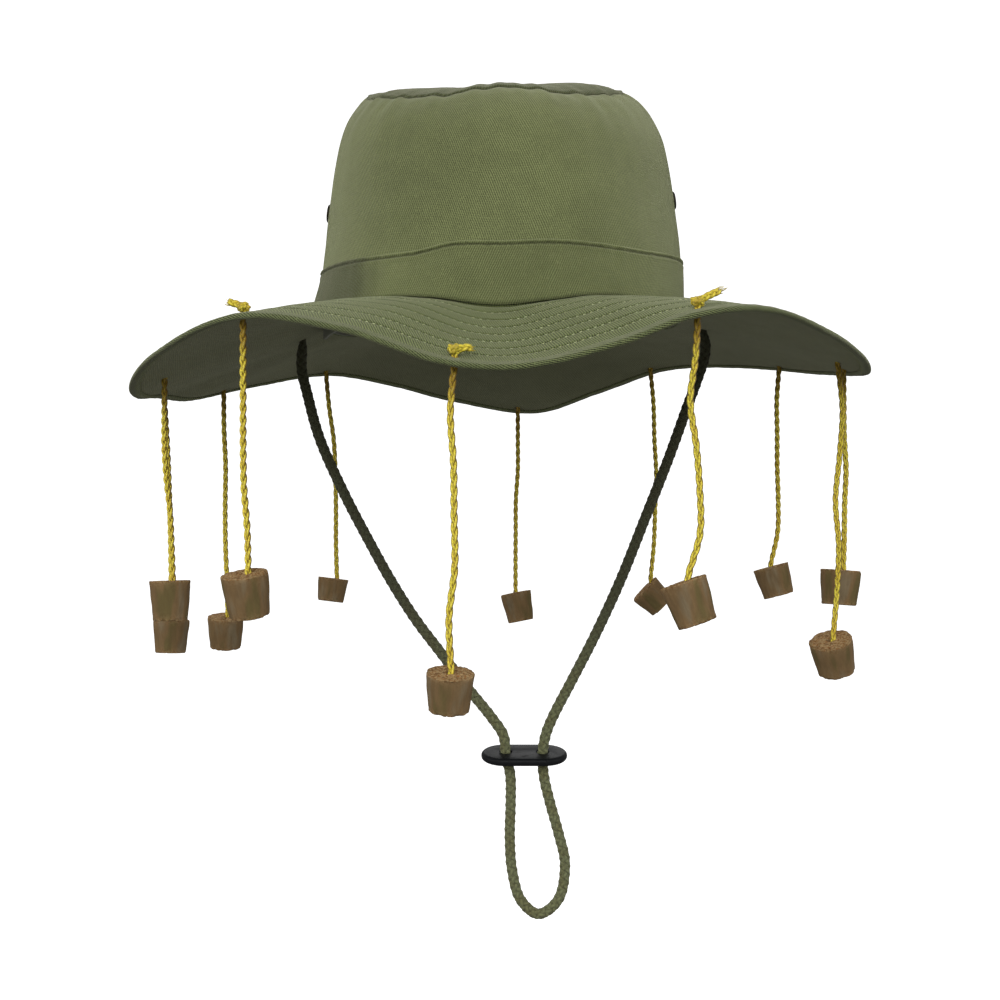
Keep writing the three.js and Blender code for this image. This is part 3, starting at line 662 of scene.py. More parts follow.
class Nodes:
    """A node tree, added to one node at a time."""

    def __init__(self, tree):
        self.tree = tree

    def feed(self, socket, value):
        """Sets an input to a value, or links it to another node's output."""
        if isinstance(value, bpy.types.NodeSocket):
            self.tree.links.new(value, socket)
        else:
            socket.default_value = value

    def add(self, kind, output=0, settings=None, **inputs):
        """Adds a node. Inputs are values or sockets, named as on the node or in0, in1, in2."""
        node = self.tree.nodes.new(kind)
        for key, value in (settings or {}).items():
            setattr(node, key, value)
        for key, value in inputs.items():
            self.feed(find_socket(node, key), value)
        return node.outputs[output]

    def coordinates(self, output):
        return self.add("ShaderNodeTexCoord", output=output)

    def part(self, coords, axis):
        return self.add("ShaderNodeSeparateXYZ", output=axis, in0=coords)

    def attribute(self, name):
        return self.add("ShaderNodeAttribute", output="Fac", settings={"attribute_name": name})

    def maths(self, operation, first, second=0.0, third=0.0):
        return self.add(
            "ShaderNodeMath", settings={"operation": operation}, in0=first, in1=second, in2=third
        )

    def times(self, first, second, plus=0.0):
        return self.maths("MULTIPLY_ADD", first, second, plus)

    def measure(self, operation, first, second):
        """A number worked out from two vectors."""
        return self.add(
            "ShaderNodeVectorMath", output="Value", settings={"operation": operation},
            in0=first, in1=second,
        )

    def along(self, coords, direction, size):
        """How many sizes along a direction of the coordinates a point lies."""
        return self.measure("DOT_PRODUCT", coords, [c / size for c in (*direction, 0)])

    def away(self, place, middle):
        return self.measure("DISTANCE", place, tuple(middle))

    def wave(self, turns):
        """A smooth wave from 0 to 1 with one crest for each turn."""
        return self.times(self.maths("SINE", self.times(turns, 2 * math.pi)), 0.5, 0.5)

    def noise(self, coords, size, detail=2.0, roughness=0.5, distortion=0.0):
        return self.add(
            "ShaderNodeTexNoise", in0=coords, Scale=1 / size, Detail=detail, Roughness=roughness,
            Distortion=distortion,
        )

    def ramp(self, value, low, high, start=0.0, end=1.0):
        """A value between low and high, brought to between start and end."""
        return self.add(
            "ShaderNodeMapRange", settings={"interpolation_type": "SMOOTHSTEP"},
            in0=value, in1=low, in2=high, in3=start, in4=end,
        )

    def spots(self, coords, size, low, high, *values):
        """Noise brought from between low and high to between 0 and 1."""
        return self.ramp(self.noise(coords, size, *values), low, high)

    def mix(self, share, first, second):
        """Two colours mixed by a share."""
        return self.add(
            "ShaderNodeMix", output=2, settings={"data_type": "RGBA"},
            in0=share, in6=first, in7=second,
        )


class Material(Nodes):
    """A new material's node tree with its base colour."""

    def __init__(self, name, base, roughness, **sockets):
        self.made = bpy.data.materials.new(name)
        self.made.use_nodes = True
        super().__init__(self.made.node_tree)
        self.shader = self.tree.nodes["Principled BSDF"]
        self.base = (*base, 1)
        self.finish(base_color=self.base, roughness=roughness, **sockets)

    def shade(self, *factors):
        """The base colour made darker or lighter by a factor, or by one for each of its parts."""
        return tinted(self.base, factors)

    def finish(self, bumps=None, **sockets):
        """Feeds the shader's inputs. Bumps are a height, a distance and a strength."""
        if bumps:
            height, distance, strength = bumps
            sockets["normal"] = self.add(
                "ShaderNodeBump", height=height, distance=distance, strength=strength
            )
        for key, value in sockets.items():
            self.feed(find_socket(self.shader, key), value)
        return self.made


def twill_material(
    name, base, lean, contrast=1.0, pitch=0.95 * MM, painted_shade_patches=(), painted_light_stripes=(), sewn=0.0
):
    """Cotton twill: slanting ribs of short floats, faint slubs and patches faded by use, with light
    and shade painted on. Lean is the way across the ribs on the cloth. painted_shade_patches lists
    the middle of each patch of painted shade, the radii where it starts and ends to fade, and its
    strength. The cloudy fading makes its edge uneven. painted_light_stripes lists how far up the
    cloth a stripe of painted highlight or painted shade lies, where it starts and ends to fade, its
    strength and its tone. Sewn is how dark the seams are painted, as painted shade in their
    grooves."""
    nodes = Material(
        name, base, 0.86, sheen_weight=0.36, sheen_roughness=0.45, sheen_tint=(1, 1, 0.72, 1),
        specular_ior_level=0.2,
    )
    cloth, place = nodes.coordinates("UV"), nodes.coordinates("Object")
    x, y = unit(np.array(lean, float))
    stray = nodes.times(nodes.noise(cloth, 9 * MM, 2), 1.3, -0.65)
    turns = nodes.maths("ADD", nodes.along(cloth, (x, y), pitch), stray)
    row = nodes.times(nodes.maths("FLOOR", turns), 0.37)
    floats = nodes.wave(nodes.maths("ADD", nodes.along(cloth, (-y, x), 1.1 * MM), row))
    height = nodes.times(nodes.wave(turns), 0.62, nodes.times(floats, 0.2))
    height = nodes.times(nodes.noise(cloth, 0.7 * MM, 3, 0.7), 0.45, height)
    # The ribs' tone is painted light: a painted highlight on their crests and painted shade in
    # their grooves.
    dark, light = nodes.shade(1 - 0.42 * contrast), nodes.shade(1 + 0.34 * contrast)
    tone = nodes.mix(nodes.ramp(height, 0.25, 1.0), dark, light)
    fade = nodes.spots(place, 34 * MM, 0.4, 0.68, 4, 0.55, 0.4)
    flecks = nodes.spots(cloth, 1.5 * MM, 0.52, 0.74, 3, 0.65)
    pits = nodes.spots(cloth, 1.1 * MM, 0.42, 0.26, 2, 0.6, 0.3)
    mottle = nodes.spots(place, 8 * MM, 0.4, 0.66, 3, 0.55)
    wear_and_seam_shade = [
        (fade, 0.25, 0.66), (flecks, 0.3 * contrast, 1.6), (pits, 0.3 * contrast, 0.4),
        (mottle, 0.12, 0.4),
    ]
    # Painted shade in the grooves of the seams, read from the points' seam shade share.
    if sewn:
        wear_and_seam_shade.append((nodes.attribute("seam_shade"), sewn, 0.15))
    for mask, strength, factor in wear_and_seam_shade:
        tone = nodes.mix(nodes.times(mask, strength), tone, nodes.shade(factor))
    # Stripes of painted highlight or painted shade across the cloth.
    for middle, near, far, strength, factor in painted_light_stripes:
        stray = nodes.times(nodes.noise(cloth, 2.5 * MM, 2), 1.4 * MM, -0.7 * MM)
        off = nodes.maths("ADD", nodes.maths("SUBTRACT", nodes.part(cloth, "Y"), middle), stray)
        share = nodes.ramp(nodes.maths("ABSOLUTE", off), near, far, strength, 0)
        tone = nodes.mix(share, tone, nodes.shade(factor))
    # Patches of painted shade, their edges broken by the fading.
    for middle, near, far, strength in painted_shade_patches:
        away = nodes.maths("ADD", nodes.away(place, middle), nodes.times(fade, 12 * MM, -6 * MM))
        tone = nodes.mix(nodes.ramp(away, near, far, strength, 0), tone, nodes.shade(0.12))
    return nodes.finish(base_color=tone, bumps=(height, 0.32 * MM, 0.8))


def lining_material(name, base, bright_spot):
    """A plain woven cotton strip, its hem painted pale as a highlight round the bright spot and
    only faintly elsewhere.
    """
    nodes = Material(name, base, 0.9, sheen_weight=0.2, specular_ior_level=0.25)
    cloth, place = nodes.coordinates("UV"), nodes.coordinates("Object")
    warp, weft = (nodes.wave(nodes.along(cloth, way, 0.7 * MM)) for way in ((1, 0), (0, 1)))
    weave = nodes.times(warp, weft)
    tone = nodes.mix(nodes.noise(cloth, 12 * MM, 3), nodes.shade(0.85), nodes.shade(1.1))
    tone = nodes.mix(nodes.times(weave, 0.3), tone, nodes.shade(0.7))
    # Painted highlight: the hem is painted pale round the bright spot.
    hem = nodes.ramp(nodes.part(cloth, "Y"), 0.6 * MM, 1.3 * MM, 0.8, 0)
    near = nodes.ramp(nodes.away(place, bright_spot), 9 * MM, 19 * MM, 1, 0.15)
    tone = nodes.mix(nodes.times(hem, near), tone, (0.55, 0.54, 0.5, 1))
    return nodes.finish(base_color=tone, bumps=(weave, 0.15 * MM, 0.6))


def yarn_material(
    name, base, ply, twist, gloss, warmth=0.45, creased=0.9, painted_shade_length=0.0, painted_shade_heights=()
):
    """Twisted yarn: fine slanting plies, with painted shade between them. Warmth is how far its
    tone wanders, creased how dark the painted shade is where strands meet, painted_shade_length the
    length at its start that is painted browner as shade under the brim, and painted_shade_heights
    the heights below which it is plain and above which it is dark with painted shade."""
    nodes = Material(name, base, gloss, sheen_weight=0.15, specular_ior_level=0.4)
    strand, place = nodes.coordinates("UV"), nodes.coordinates("Object")
    turns = nodes.along(strand, (ply, 1 / twist), 1)
    plies = nodes.wave(nodes.times(nodes.noise(place, 1.2 * MM, 2), 0.8, turns))
    height = nodes.times(nodes.noise(place, 0.35 * MM, 2, 0.6), 0.4, plies)
    wander = nodes.times(nodes.spots(place, 6 * MM, 0.4, 0.7, 3), warmth)
    tone = nodes.mix(wander, nodes.shade(1.15), nodes.shade(0.86, 0.66, 0.4))
    # Painted shade: the start of the yarn is painted browner, as under the brim.
    if painted_shade_length:
        share = nodes.ramp(nodes.part(strand, "Y"), 0.45 * painted_shade_length, painted_shade_length, 0.78, 0)
        tone = nodes.mix(share, tone, nodes.shade(0.32, 0.2, 0.1))
    # Painted shade: the yarn darkens above a height, as under the brim.
    if painted_shade_heights:
        share = nodes.ramp(nodes.part(place, "Z"), *painted_shade_heights, 0, 0.84)
        tone = nodes.mix(share, tone, nodes.shade(0.1))
    # Painted shade in the grooves between plies.
    between = nodes.times(nodes.ramp(height, 0.2, 1.2), -0.4, 0.4)
    tone = nodes.mix(between, tone, nodes.shade(0.4))
    # Painted shade on each strand's sides, where strands meet.
    facing = nodes.maths("ADD", nodes.along(strand, (2, 0), 1), 0.25)
    beside = nodes.ramp(nodes.wave(facing), 0.25, 1.0, creased, 0)
    tone = nodes.mix(beside, tone, nodes.shade(0.2, 0.13, 0.08))
    return nodes.finish(base_color=tone, bumps=(height, 0.13 * MM, 0.7))


def cork_material(name, side, end):
    """Cork: soft streaks down the sides and rough, paler, pitted ends."""
    nodes = Material(name, side, 0.88, specular_ior_level=0.25)
    place, rough = nodes.coordinates("Object"), nodes.attribute("cut_end")
    bark = nodes.add("ShaderNodeMapping", Vector=nodes.coordinates("UV"), Scale=(1, 0.22, 1))
    patch = nodes.noise(bark, 7 * MM, 2, 0.5)
    sides = nodes.mix(nodes.ramp(patch, 0.36, 0.5), nodes.shade(0.72, 0.86, 0.72), nodes.base)
    sides = nodes.mix(nodes.ramp(patch, 0.5, 0.66, 0, 0.8), sides, nodes.shade(1.12, 1.4, 1.9))
    broad, fine = nodes.noise(bark, 2.2 * MM, 4, 0.6), nodes.noise(bark, 0.6 * MM, 3, 0.6)
    streaks = nodes.times(fine, 0.35, broad)
    sides = nodes.mix(nodes.ramp(streaks, 0.42, 0.85, 0.36, 0), sides, nodes.shade(0.45))
    speckle = nodes.noise(place, 0.9 * MM, 4, 0.7)
    ends = nodes.mix(nodes.ramp(speckle, 0.4, 0.56), tinted(end, (0.62, 0.4, 0.26)), (*end, 1))
    pitted = nodes.times(nodes.spots(place, 1.3 * MM, 0.5, 0.62, 3, 0.6), 0.75)
    ends = nodes.mix(pitted, ends, tinted(end, (0.3, 0.2, 0.12)))
    side_height, end_height = nodes.times(streaks, 0.4), nodes.times(speckle, 1.6)
    higher = nodes.maths("SUBTRACT", end_height, side_height)
    height = nodes.times(rough, higher, side_height)
    tone = nodes.mix(rough, sides, ends)
    return nodes.finish(base_color=tone, bumps=(height, 0.3 * MM, 0.9))


def plastic_material(name, base):
    """Satin moulded plastic with faint scuffs."""
    nodes = Material(name, base, 0.5, specular_ior_level=0.12)
    place = nodes.coordinates("Object")
    pores = nodes.noise(place, 0.5 * MM, 3, 0.6)
    scuffs = nodes.spots(place, 5 * MM, 0.5, 0.75, 5, 0.65, 1.0)
    tone = nodes.mix(nodes.times(scuffs, 0.3), nodes.base, nodes.shade(1.5))
    rough = nodes.ramp(scuffs, 0, 1, 0.46, 0.6)
    return nodes.finish(base_color=tone, roughness=rough, bumps=(pores, 0.05 * MM, 0.5))


def metal_material(name, base):
    """Dark oxidised brass, a little brighter where it is rubbed."""
    nodes = Material(name, base, 0.4, metallic=1.0)
    bright_spot = nodes.spots(nodes.coordinates("Object"), 1.5 * MM, 0.45, 0.7, 4, 0.6)
    tone = nodes.mix(nodes.times(bright_spot, 0.5), nodes.shade(0.8), nodes.shade(1.9))
    rough = nodes.ramp(bright_spot, 0, 1, 0.5, 0.32)
    return nodes.finish(base_color=tone, roughness=rough, bumps=(bright_spot, 0.03 * MM, 0.5))


class HAT_OT_stage(bpy.types.Operator):
    """Sets up the camera, the pale floor and the soft studio light"""

    bl_idname = "hat.stage"
    bl_label = "Stage"

    eye = (0, -0.72, -0.068)
    lens = 56.5
    shift = -0.026
    floor_level = -0.7
    room_radius = 5
    white = (0.9, 0.9, 0.9)
    lights = {
        "key": {"place": (-0.3, -2.4, 0.8), "size": 1.4, "power": 27},
        "left fill": {"place": (1.9, -0.8, 0.4), "size": 1.4, "power": 7},
        "right fill": {"place": (-1.9, -0.8, 0.4), "size": 1.4, "power": 7},
        "back": {"place": (0.2, 1.8, 1.2), "size": 1.5, "power": 8},
    }

    def execute(self, context):
        context.scene.view_settings.view_transform = "Standard"
        self.add_camera(context.scene)
        self.add_floor()
        self.add_world(context.scene)
        for name, values in self.lights.items():
            self.add_light(name, **values)
        return {"FINISHED"}

    def add_camera(self, scene):
        camera = bpy.data.cameras.new("camera")
        camera.lens = self.lens
        camera.shift_y = self.shift
        holder = bpy.data.objects.new("camera", camera)
        holder.location = self.eye
        holder.rotation_euler = (math.pi / 2, 0, 0)
        scene.collection.objects.link(holder)
        scene.camera = holder

    def add_floor(self):
        """A flat pale floor that curves up into a round room of the same white."""
        room = add_solid("uv_sphere", segments=96, ring_count=64, radius=self.room_radius)
        room.name = "floor"
        for vertex in room.data.vertices:
            vertex.co.z = max(vertex.co.z, self.floor_level)
        bpy.ops.object.shade_smooth()
        glow = Material(
            "pale floor", self.white, 0.9, specular_ior_level=0.1,
            emission_color=(*self.white, 1), emission_strength=1.0,
        )
        room.data.materials.append(glow.made)
        room.visible_diffuse = False
        room.visible_glossy = False
        room.visible_shadow = False

    def add_world(self, scene):
        """A white room that is bright above and dim below, and plain white to the camera."""
        world = bpy.data.worlds.new("white room")
        world.use_nodes = True
        nodes = Nodes(world.node_tree)
        fade = nodes.ramp(nodes.part(nodes.coordinates("Generated"), "Z"), -0.35, 0.45, 0.2, 0.42)
        seen = nodes.add("ShaderNodeLightPath", output="Is Camera Ray")
        background = world.node_tree.nodes["Background"]
        nodes.feed(background.inputs["Strength"], nodes.maths("MAXIMUM", fade, seen))
        nodes.feed(background.inputs["Color"], (1, 1, 1, 1))
        scene.world = world

    def add_light(self, name, place, size, power):
        light = bpy.data.lights.new(name, "AREA")
        light.shape = "DISK"
        light.size = size
        light.energy = power
        holder = bpy.data.objects.new(name, light)
        holder.location = place
        holder.rotation_euler = (-Vector(place)).to_track_quat("-Z", "Y").to_euler()
        holder.visible_camera = False
        bpy.context.scene.collection.objects.link(holder)


class HAT_OT_slider(bpy.types.Operator):
    """Models the oval slider with its two holes, tilted as it hangs on the cord"""

    bl_idname = "hat.slider"
    bl_label = "Slider"

    long = 39.4 * MM
    wide = 21 * MM
    thick = 3.6 * MM
    hole_spacing = 16.8 * MM
    hole_width = 5.6 * MM
    edge_round = 1.65 * MM
    rim_round = 0.4 * MM
    tilt = math.radians(10.5)

    def execute(self, context):
        slider = add_solid("cylinder", vertices=96, radius=self.wide / 2, depth=self.thick)
        slider.name = "cord_slider_moulding"
        for side in (-1, 1):
            select_parts(slider, "VERT", lambda vertex: vertex.co.x * side > 0.01 * MM)
            bpy.ops.transform.translate(value=(side * (self.long - self.wide) / 2, 0, 0))
            bpy.ops.object.mode_set(mode="OBJECT")
        round_edges(slider, self.edge_round, 6)
        for side in (-1, 1):
            drill = add_solid(
                "cylinder", vertices=48, radius=self.hole_width / 2, depth=4 * self.thick,
                location=(side * self.hole_spacing / 2, 0, 0),
            )
            cut_away(slider, drill)
        round_edges(slider, self.rim_round, 3)
        select_only(slider)
        bpy.ops.object.shade_smooth_by_angle(angle=math.radians(40))
        low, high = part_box("cord_slider")
        tilt = Matrix.Rotation(self.tilt, 4, "X")
        place_mesh(slider, Matrix.Translation((low + high) / 2) @ tilt)
        material = plastic_material("satin black plastic", hat_of(context)[2].plastic)
        finish_piece(slider, "black_plastic", material, "cord_slider")
        return {"FINISHED"}


class HAT_OT_chin_cord(bpy.types.Operator):
    """Braids the chin cord along its route through the slider"""

    bl_idname = "hat.chin_cord"
    bl_label = "Chin cord"

    # The strands' sizes and how far they weave in and out are shares of the cord's radius
    strands = 4
    strand_wide = 0.51
    strand_thick = 0.28
    weave = 0.11
    end_size = 0.62
    end_taper = 7 * MM
    step = 0.62 * MM
    period = 15 * MM
    sides = 8

    def execute(self, context):
        shape, sizes, colours = hat_of(context)
        width = sizes.cord_width
        line = smooth_curve(shape.chin_cord_route(), self.step)
        normals, across = line_frames(line)
        run = run_along(line)
        from_end = np.minimum(run, run[-1] - run)
        radius = width / 2 * blend_between(self.end_size, 1, ease(from_end / self.end_taper))
        thick, weave = self.strand_thick * radius, self.weave * radius
        middle = radius - thick
        lap = 2 * math.pi * run / self.period
        braid = Shape()
        for way in (-1, 1):
            for k in range(self.strands):
                turn = way * lap + 2 * math.pi * k / self.strands
                over = way * np.cos(self.strands * lap)
                out = normals * np.cos(turn)[:, None] + across * np.sin(turn)[:, None]
                path = line + out * (middle + weave * over)[:, None]
                add_tube(braid, path, out, self.sides, self.strand_wide * radius, thick)
        add_tube(braid, line[::4], normals[::4], self.sides, (middle - weave)[::4])
        piece = braid.piece("chin_cord_braid")
        # The braid is painted dark above, as shade under the brim, with painted shade where its
        # strands meet.
        material = yarn_material(
            "olive braid", colours.cord, 3, 2.6 * MM, 0.8, creased=0.4,
            painted_shade_heights=(-205 * MM, -105 * MM),
        )
        finish_piece(piece, "green_cord", material, "chin_cord")
        return {"FINISHED"}


class HAT_OT_corks(bpy.types.Operator):
    """Models one tapered cork and copies it twelve times, each with its own crumbled surface"""

    bl_idname = "hat.corks"
    bl_label = "Corks"

    sides = 96
    side_rows = 22
    end_rings = 12
    edge_round = 0.45 * MM
    hole_radius = 1.5 * MM
    hole_depth = 3.5 * MM
    grain_radius = 8 * MM
    end_band = 0.5 * MM
    grain = 0.1 * MM
    lump = 0.28 * MM
    pit = 0.4 * MM
    crumb = 0.25 * MM
    edge_loss = 0.5 * MM

    def execute(self, context):
        shape, sizes, colours = hat_of(context)
        material = cork_material("natural cork", colours.cork, colours.cork_end)
        pattern = self.model_cork(sizes)
        for number, cork in enumerate(CORKS, 1):
            piece = bpy.data.objects.new(f"cork_{number:02d}_body", pattern.data.copy())
            context.scene.collection.objects.link(piece)
            self.roughen(piece.data, sizes, cork, number)
            piece.data.transform(shape.cork_place(cork))
            finish_piece(piece, "brown_cork", material, f"cork_{number:02d}")
        bpy.data.objects.remove(pattern)
        return {"FINISHED"}

    def model_cork(self, sizes):
        """A plain cork with its top face at the origin and rings enough to be roughened."""
        top, foot, tall = sizes.cork_top / 2, sizes.cork_bottom / 2, sizes.cork_height
        cork = add_solid(
            "cone", vertices=self.sides, radius1=foot, radius2=top, depth=tall,
            end_fill_type="NGON", location=(0, 0, -tall / 2),
        )
        place_mesh(cork, Matrix.Identity(4))

        def upright(edge):
            heights = [cork.data.vertices[v].co.z for v in edge.vertices]
            return max(heights) - min(heights) > tall / 2

        select_parts(cork, "EDGE", upright)
        bpy.ops.mesh.subdivide(number_cuts=self.side_rows)
        bpy.ops.object.mode_set(mode="OBJECT")
        self.ring_end(cork, -1, foot, 0)
        self.ring_end(cork, 1, top, self.hole_radius)
        round_edges(cork, self.edge_round, 3)
        return cork

    def ring_end(self, cork, side, radius, hole):
        """Insets an end into rings, and sinks a hole for the string in its middle."""
        select_parts(
            cork, "FACE", lambda face: face.normal.z * side > 0.9 and len(face.vertices) > 4
        )
        inner = hole or 0.4 * MM
        for _ in range(self.end_rings):
            bpy.ops.mesh.inset(thickness=(radius - inner) / self.end_rings)
        if hole:
            bpy.ops.mesh.extrude_region_move()
            bpy.ops.transform.translate(value=(0, 0, -self.hole_depth))
        bpy.ops.mesh.poke()
        bpy.ops.object.mode_set(mode="OBJECT")

    def roughen(self, mesh, sizes, cork, seed):
        """Scales the cork to its own size and gives it grain, pits and crumbled edges."""
        points = read_values(mesh.vertices, "co")
        tall = sizes.cork_height
        radius = np.hypot(points[:, 0], points[:, 1])
        share = np.clip(-points[:, 2] / tall, 0, 1)
        wall = blend_between(sizes.cork_top, sizes.cork_bottom, share) / 2
        inward = np.clip((wall - radius) / (1.2 * MM), 0, 1)
        low_end = points[:, 2] < -tall + self.end_band
        high_end = points[:, 2] > -self.end_band
        ends = np.where(low_end | high_end, np.maximum(inward, 0.55), 0)
        near_edge = np.exp(-np.minimum(-points[:, 2], points[:, 2] + tall).clip(0) / (1.3 * MM))
        crumble = near_edge * ease((radius - wall + 1.5 * MM) / (1.5 * MM))
        points *= (cork["girth"], cork["girth"], cork["tall"])
        grain = soft_noise(points, (1.3 * MM, 1.3 * MM, 9 * MM), seed)
        lumps = soft_noise(points, 6 * MM, seed + 20)
        pits = soft_noise(points, 1.1 * MM, seed + 40)
        crumbs = soft_noise(points, 2.2 * MM, seed + 60)
        outward = unit(points * (1, 1, 0))
        push = self.grain * grain + self.lump * lumps
        push -= self.edge_loss * crumble * ease(crumbs * 1.5 + 0.35)
        points += outward * np.where(radius > 2.5 * MM, push, 0)[:, None]
        sink = self.pit * ease(pits * 1.8 - 0.1) + self.crumb * ease(crumbs * 1.5)
        points[:, 2] += np.where(high_end, -sink, np.where(low_end, sink * 0.8, 0))
        mesh.vertices.foreach_set("co", points.ravel())
        rim = np.where(high_end, 1, 0.8) * np.maximum(ends, 0.5 * crumble)
        keep_shares(mesh, "cut_end", rim)
        self.lay_grain(mesh, points, seed)
        mend_mesh(mesh)
        mesh.shade_smooth()

    def lay_grain(self, mesh, points, seed):
        """Coordinates round and down the sides, so that the streaks run from end to end."""
        corner = read_values(mesh.loops, "vertex_index", int)
        angle = np.arctan2(points[corner, 1], points[corner, 0])
        starts = read_values(mesh.polygons, "loop_start", int)
        first = np.repeat(angle[starts], np.diff(np.append(starts, len(corner))))
        angle = first + (angle - first + math.pi) % (2 * math.pi) - math.pi
        around = angle * self.grain_radius + seed * 0.1
        coords = np.stack((around, points[corner, 2]), axis=1)
        layer = mesh.uv_layers.active
        layer.data.foreach_set("uv", coords.ravel().astype(np.float32))


class HAT_OT_knots(bpy.types.Operator):
    """Ties the knots on top of the brim, each with its short frayed tail"""

    bl_idname = "hat.knots"
    bl_label = "Knots"

    width = 6.0 * MM
    height = 4.0 * MM
    yarn = 2.5 * MM
    strand = 1.3 * MM
    stem_strand = 1.0 * MM
    loop_step = 0.35 * MM
    loop_period = 5 * MM
    stem_period = 6 * MM
    tail_period = 7 * MM
    tail_length = 7.5 * MM
    tail_arch = 0.7 * MM
    tail_bend = 0.5 * MM
    fibres = 16
    fibre_root = 0.2 * MM
    fibre_tip = 0.1 * MM

    def execute(self, context):
        shape, _, colours = hat_of(context)
        # Creased sets how dark the painted shade is where the knots' strands meet.
        material = yarn_material(
            "yellow yarn", colours.yarn, 2, 1.7 * MM, 0.5, warmth=0.6, creased=0.5
        )
        for number, cork in enumerate(CORKS, 1):
            knot = self.tie(shape, cork, number)
            finish_piece(knot, "yellow_yarn", material, f"knot_{number:02d}")
        return {"FINISHED"}

    def tie(self, shape, cork, number):
        hole = shape.string_hole(cork, 0)
        slope = self.brim_slope(shape, cork)
        middle = hole + UP * (math.hypot(self.height / 2, slope * self.width / 2) + shape.gap)
        knot = Shape()
        loop = middle + even_points(self.wind(number), self.loop_step)
        add_plait(
            knot, loop, self.yarn, self.strand, self.loop_period, 10, first=(0.2, 0.3, 1)
        )
        stem = np.linspace(middle, hole - UP * shape.sizes.brim_wall, 12)
        add_plait(knot, stem, self.yarn, self.stem_strand, self.stem_period, 8)
        bearing, rise, share = cork["tail"]
        flat = math.cos(math.radians(rise))
        away = on_ellipse(bearing, flat, flat, math.sin(math.radians(rise)))
        reach = self.tail_length * share
        steps = np.linspace(0, 1, 24)[:, None]
        bend = np.cross(away, UP) * self.tail_bend * np.sin(steps * 3)
        bend += UP * self.tail_arch * steps * (1 - steps)
        tail = middle + away * reach * 0.9 * steps + bend
        size = blend_between(1.0, 1.1, np.sin(steps[:, 0] * 2.4))
        add_plait(knot, tail, self.yarn * 1.08, self.strand, self.tail_period, 10, size=size)
        self.fray(knot, tail[-1], away * reach * share, away, random.Random(number))
        return knot.piece(f"knot_{number:02d}_yarn")

    def brim_slope(self, shape, cork):
        """How steep the brim is round a string's hole, as a rise over a run."""
        reach = shape.reach_inside(shape.sizes.string_inset * cork["inset"])
        here = shape.brim_point(cork["bearing"], reach, 0)
        slopes = []
        for turn, out in ((0, 0.04), (0, -0.04), (2, 0), (-2, 0)):
            x, y, z = shape.brim_point(cork["bearing"] + turn, reach + out, 0) - here
            slopes.append(abs(z) / math.hypot(x, y))
        return max(slopes)

    def wind(self, start):
        """The line of the yarn through a trefoil knot, a little past where it began."""
        t = np.linspace(0, 2 * math.pi, 61)[:-1] + start
        x, y = np.sin(t) + 2 * np.sin(2 * t), np.cos(t) - 2 * np.cos(2 * t)
        swing = (self.width - self.yarn) / 2
        lift = (self.height - self.yarn) / 2
        loop = np.stack((x / 3 * swing, y / 3 * swing, -np.sin(3 * t) * lift), axis=1)
        return np.concatenate((loop, loop[:2]))

    def fray(self, knot, end, reach, away, chance):
        """Loose fibres that spread from the end of the tail."""
        for _ in range(self.fibres):
            spread = np.array([chance.uniform(-1, 1) for _ in range(3)])
            start = end + spread * 0.7 * MM - away * 1.2 * MM
            tip = end + reach * chance.uniform(0.04, 0.22) + spread * 1.2 * MM
            curl = np.array([chance.uniform(-0.4, 0.4) for _ in range(3)]) * MM
            share = np.linspace(0, 1, 6)[:, None]
            line = start + (tip - start) * share + curl * share * (1 - share) * 3
            normals, _ = line_frames(line, (0.1, 0.3, 1))
            add_tube(knot, line, normals, 5, np.linspace(self.fibre_root, self.fibre_tip, 6))


class HAT_OT_strings(bpy.types.Operator):
    """Plaits the twelve strings from the brim down into their corks"""

    bl_idname = "hat.strings"
    bl_label = "Strings"

    step = 0.5 * MM
    strand = 1.32 * MM
    period = 13.5 * MM
    sides = 8
    seated = 2.4 * MM
    # Length at the top of each string that is painted browner, as shade under the brim.
    painted_shade_length = 21 * MM

    def execute(self, context):
        shape, sizes, colours = hat_of(context)
        material = yarn_material(
            "yellow braid", colours.yarn, 2, 1.7 * MM, 0.5, painted_shade_length=self.painted_shade_length
        )
        for number, cork in enumerate(CORKS, 1):
            route = shape.string_route(cork)
            top = route[0] + UP * (sizes.brim_wall + shape.gap)
            line = smooth_curve([top, *route, route[-1] - UP * self.seated], self.step)
            string = Shape()
            add_plait(
                string, line, sizes.string_width, self.strand,
                self.period * (1 + 0.06 * math.sin(number)), self.sides, phase=number * 1.3,
                first=(0.25 * math.sin(math.radians(40 * number)), 1, 0),
            )
            piece = string.piece(f"string_{number:02d}_braid")
            finish_piece(piece, "yellow_yarn", material, f"string_{number:02d}")
        return {"FINISHED"}


